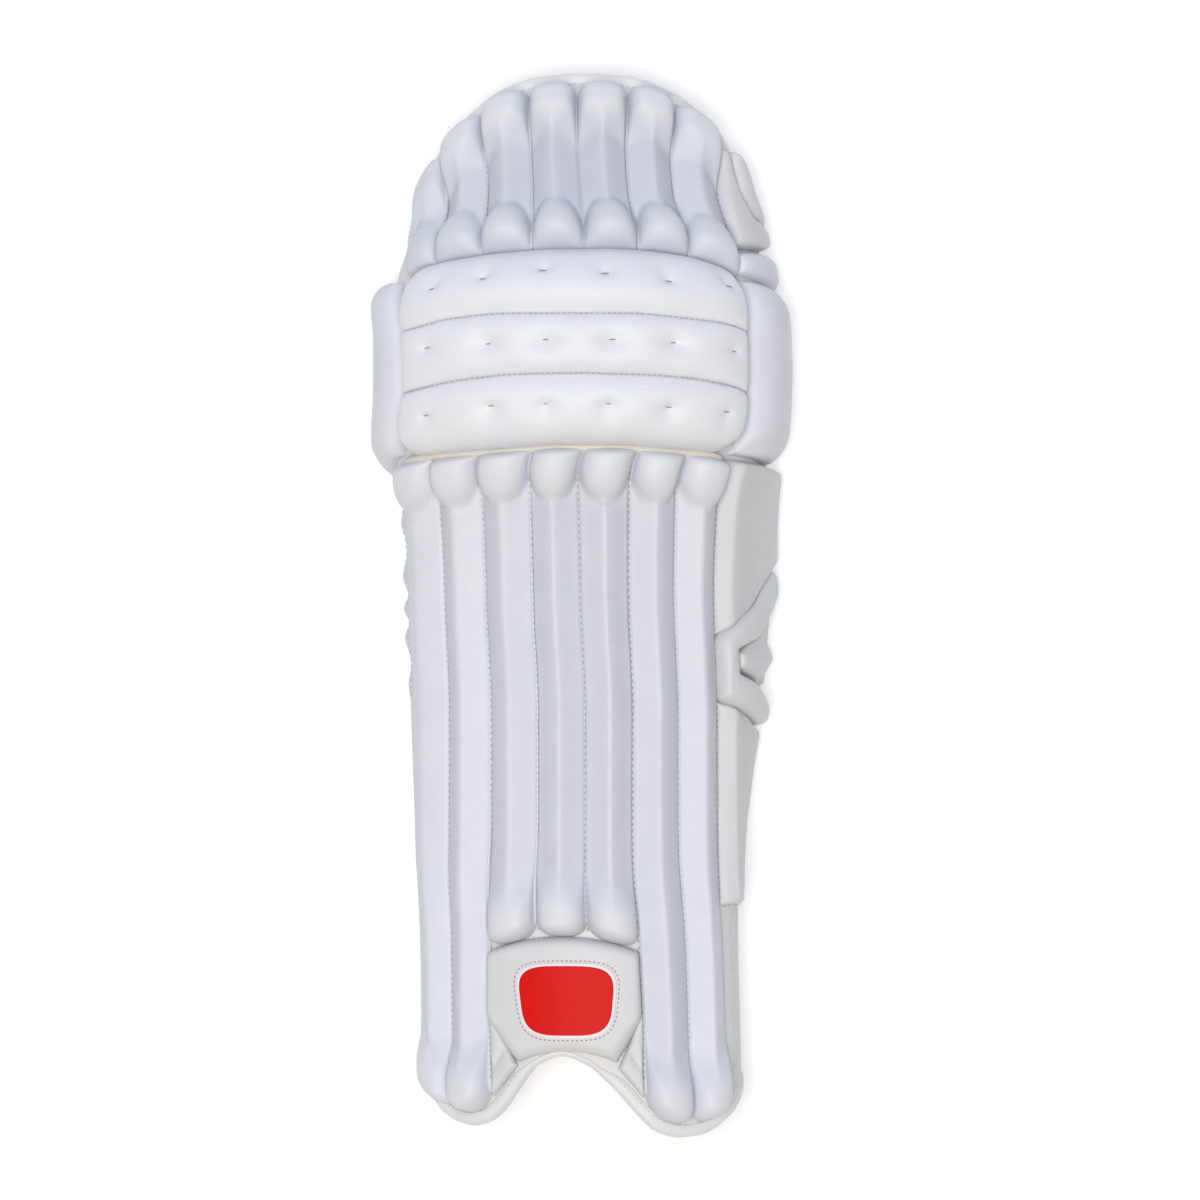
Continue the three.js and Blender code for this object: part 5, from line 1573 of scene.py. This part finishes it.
class PAD_OT_straps(bpy.types.Operator):
    """Three webbing straps across the back"""

    bl_idname = "pad.straps"
    bl_label = "Straps"

    def execute(self, context):
        webbing = strap_webbing("polyester_webbing", linear("#ebe9e3"))
        for name in ("strap_thigh", "strap_calf", "strap_ankle"):
            low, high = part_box(name)
            bpy.ops.object.select_all(action="DESELECT")
            bpy.ops.mesh.primitive_grid_add(x_subdivisions=60, y_subdivisions=10, size=1)
            piece = bpy.context.object
            piece.name = piece.data.name = name + "_webbing"
            flat = np.array([v.co for v in piece.data.vertices])
            x = mix(low.x + WEBBING_CLEARANCE, high.x - WEBBING_CLEARANCE, flat[:, 0] + 0.5)
            y = mix(low.y, high.y, flat[:, 1] + 0.5)
            z = np.full(len(x), mix(low.z, high.z, 0.3))
            piece.data.vertices.foreach_set("co", np.stack([x, y, z], axis=1).ravel())
            solid = piece.modifiers.new("weave", "SOLIDIFY")
            solid.thickness = WEBBING_THICKNESS
            solid.offset = 1
            bevel = piece.modifiers.new("selvedge", "BEVEL")
            bevel.width = WEBBING_EDGE
            bevel.segments = 2
            bpy.ops.object.modifier_apply(modifier="weave")
            bpy.ops.object.modifier_apply(modifier="selvedge")
            bpy.ops.object.shade_smooth_by_angle(angle=math.radians(40))
            outward(piece)
            finish_piece(piece, webbing, [name])
        return {"FINISHED"}


# The picture: how wide it is at the pad, where its middle falls, and the height that it is measured at
PICTURE_SPAN = 780 * MM
PICTURE_MIDDLE = (11.7 * MM, 2.1 * MM)
PICTURE_HEIGHT = 80 * MM
CAMERA_DISTANCE = 6.0
SENSOR = 36.0
PAPER_GLOW = 0.26
AIR_GLOW = 0.13


class PAD_OT_stage(bpy.types.Operator):
    """White floor, soft frontal light and the camera straight above the pad"""

    bl_idname = "pad.stage"
    bl_label = "Studio"

    def execute(self, context):
        scene = bpy.context.scene
        scene.view_settings.view_transform = "Standard"
        bpy.ops.object.select_all(action="DESELECT")
        bpy.ops.mesh.primitive_plane_add(size=8, location=(0, 0, 0))
        floor = bpy.context.object
        floor.name = "studio_floor"
        floor.data.materials.append(studio_paper("white_paper", linear("#f2f2f2"), PAPER_GLOW))
        world = bpy.data.worlds.new("studio_air")
        scene.world = world
        world.use_nodes = True
        background = world.node_tree.nodes["Background"]
        background.inputs["Color"].default_value = linear("#e6ebf6")
        background.inputs["Strength"].default_value = AIR_GLOW
        # name, strength, angle of the source, tilt from straight above towards +X and +Y, colour
        lamps = (
            ("front_light", 2.38, 34, (-4, -4), "#fffdf9"),
            ("cool_top_light", 0.62, 70, (0, 58), "#c6d6ff"),
            ("warm_toe_light", 0.26, 70, (0, -60), "#ffe4c4"),
        )
        for name, strength, spread, (tilt_x, tilt_y), colour in lamps:
            bpy.ops.object.light_add(type="SUN", location=(0, 0, 3))
            lamp = bpy.context.object
            lamp.name = name
            lamp.data.energy = strength
            lamp.data.angle = math.radians(spread)
            lamp.data.color = linear(colour)[:3]
            towards = Vector((math.tan(math.radians(tilt_x)), math.tan(math.radians(tilt_y)), 1))
            lamp.rotation_euler = towards.to_track_quat("Z", "Y").to_euler()
        bpy.ops.object.camera_add(
            location=(*PICTURE_MIDDLE, CAMERA_DISTANCE), rotation=(0, 0, 0))
        camera = bpy.context.object
        camera.name = "photo_camera"
        camera.data.sensor_width = SENSOR
        camera.data.lens = SENSOR * (CAMERA_DISTANCE - PICTURE_HEIGHT) / PICTURE_SPAN
        camera.data.clip_end = 100
        scene.camera = camera
        return {"FINISHED"}


# Registration

class PAD_PT_panel(bpy.types.Panel):
    """Lists the pieces of the pad"""

    bl_idname = "PAD_PT_panel"
    bl_label = "Batting Pad"
    bl_space_type = "VIEW_3D"
    bl_region_type = "UI"
    bl_category = "Batting Pad"

    def draw(self, context):
        column = self.layout.column()
        for name in PadSettings.__annotations__:
            column.prop(context.scene.pad_settings, name)
        for operator in OPERATORS:
            column.operator(operator.bl_idname)


OPERATORS = (
    PAD_OT_backing, PAD_OT_canes, PAD_OT_rolls, PAD_OT_bolsters, PAD_OT_wings, PAD_OT_instep,
    PAD_OT_stitches, PAD_OT_straps, PAD_OT_stage,
)
CLASSES = (PadSettings, *OPERATORS, PAD_PT_panel)


def register():
    for item in CLASSES:
        bpy.utils.register_class(item)
    bpy.types.Scene.pad_settings = PointerProperty(type=PadSettings)


def unregister():
    del bpy.types.Scene.pad_settings
    for item in reversed(CLASSES):
        bpy.utils.unregister_class(item)


def main():
    register()
    bpy.ops.pad.backing()
    bpy.ops.pad.canes()
    bpy.ops.pad.rolls()
    bpy.ops.pad.bolsters()
    bpy.ops.pad.wings()
    bpy.ops.pad.instep()
    bpy.ops.pad.stitches()
    bpy.ops.pad.straps()
    bpy.ops.pad.stage()


if __name__ == "__main__":
    main()
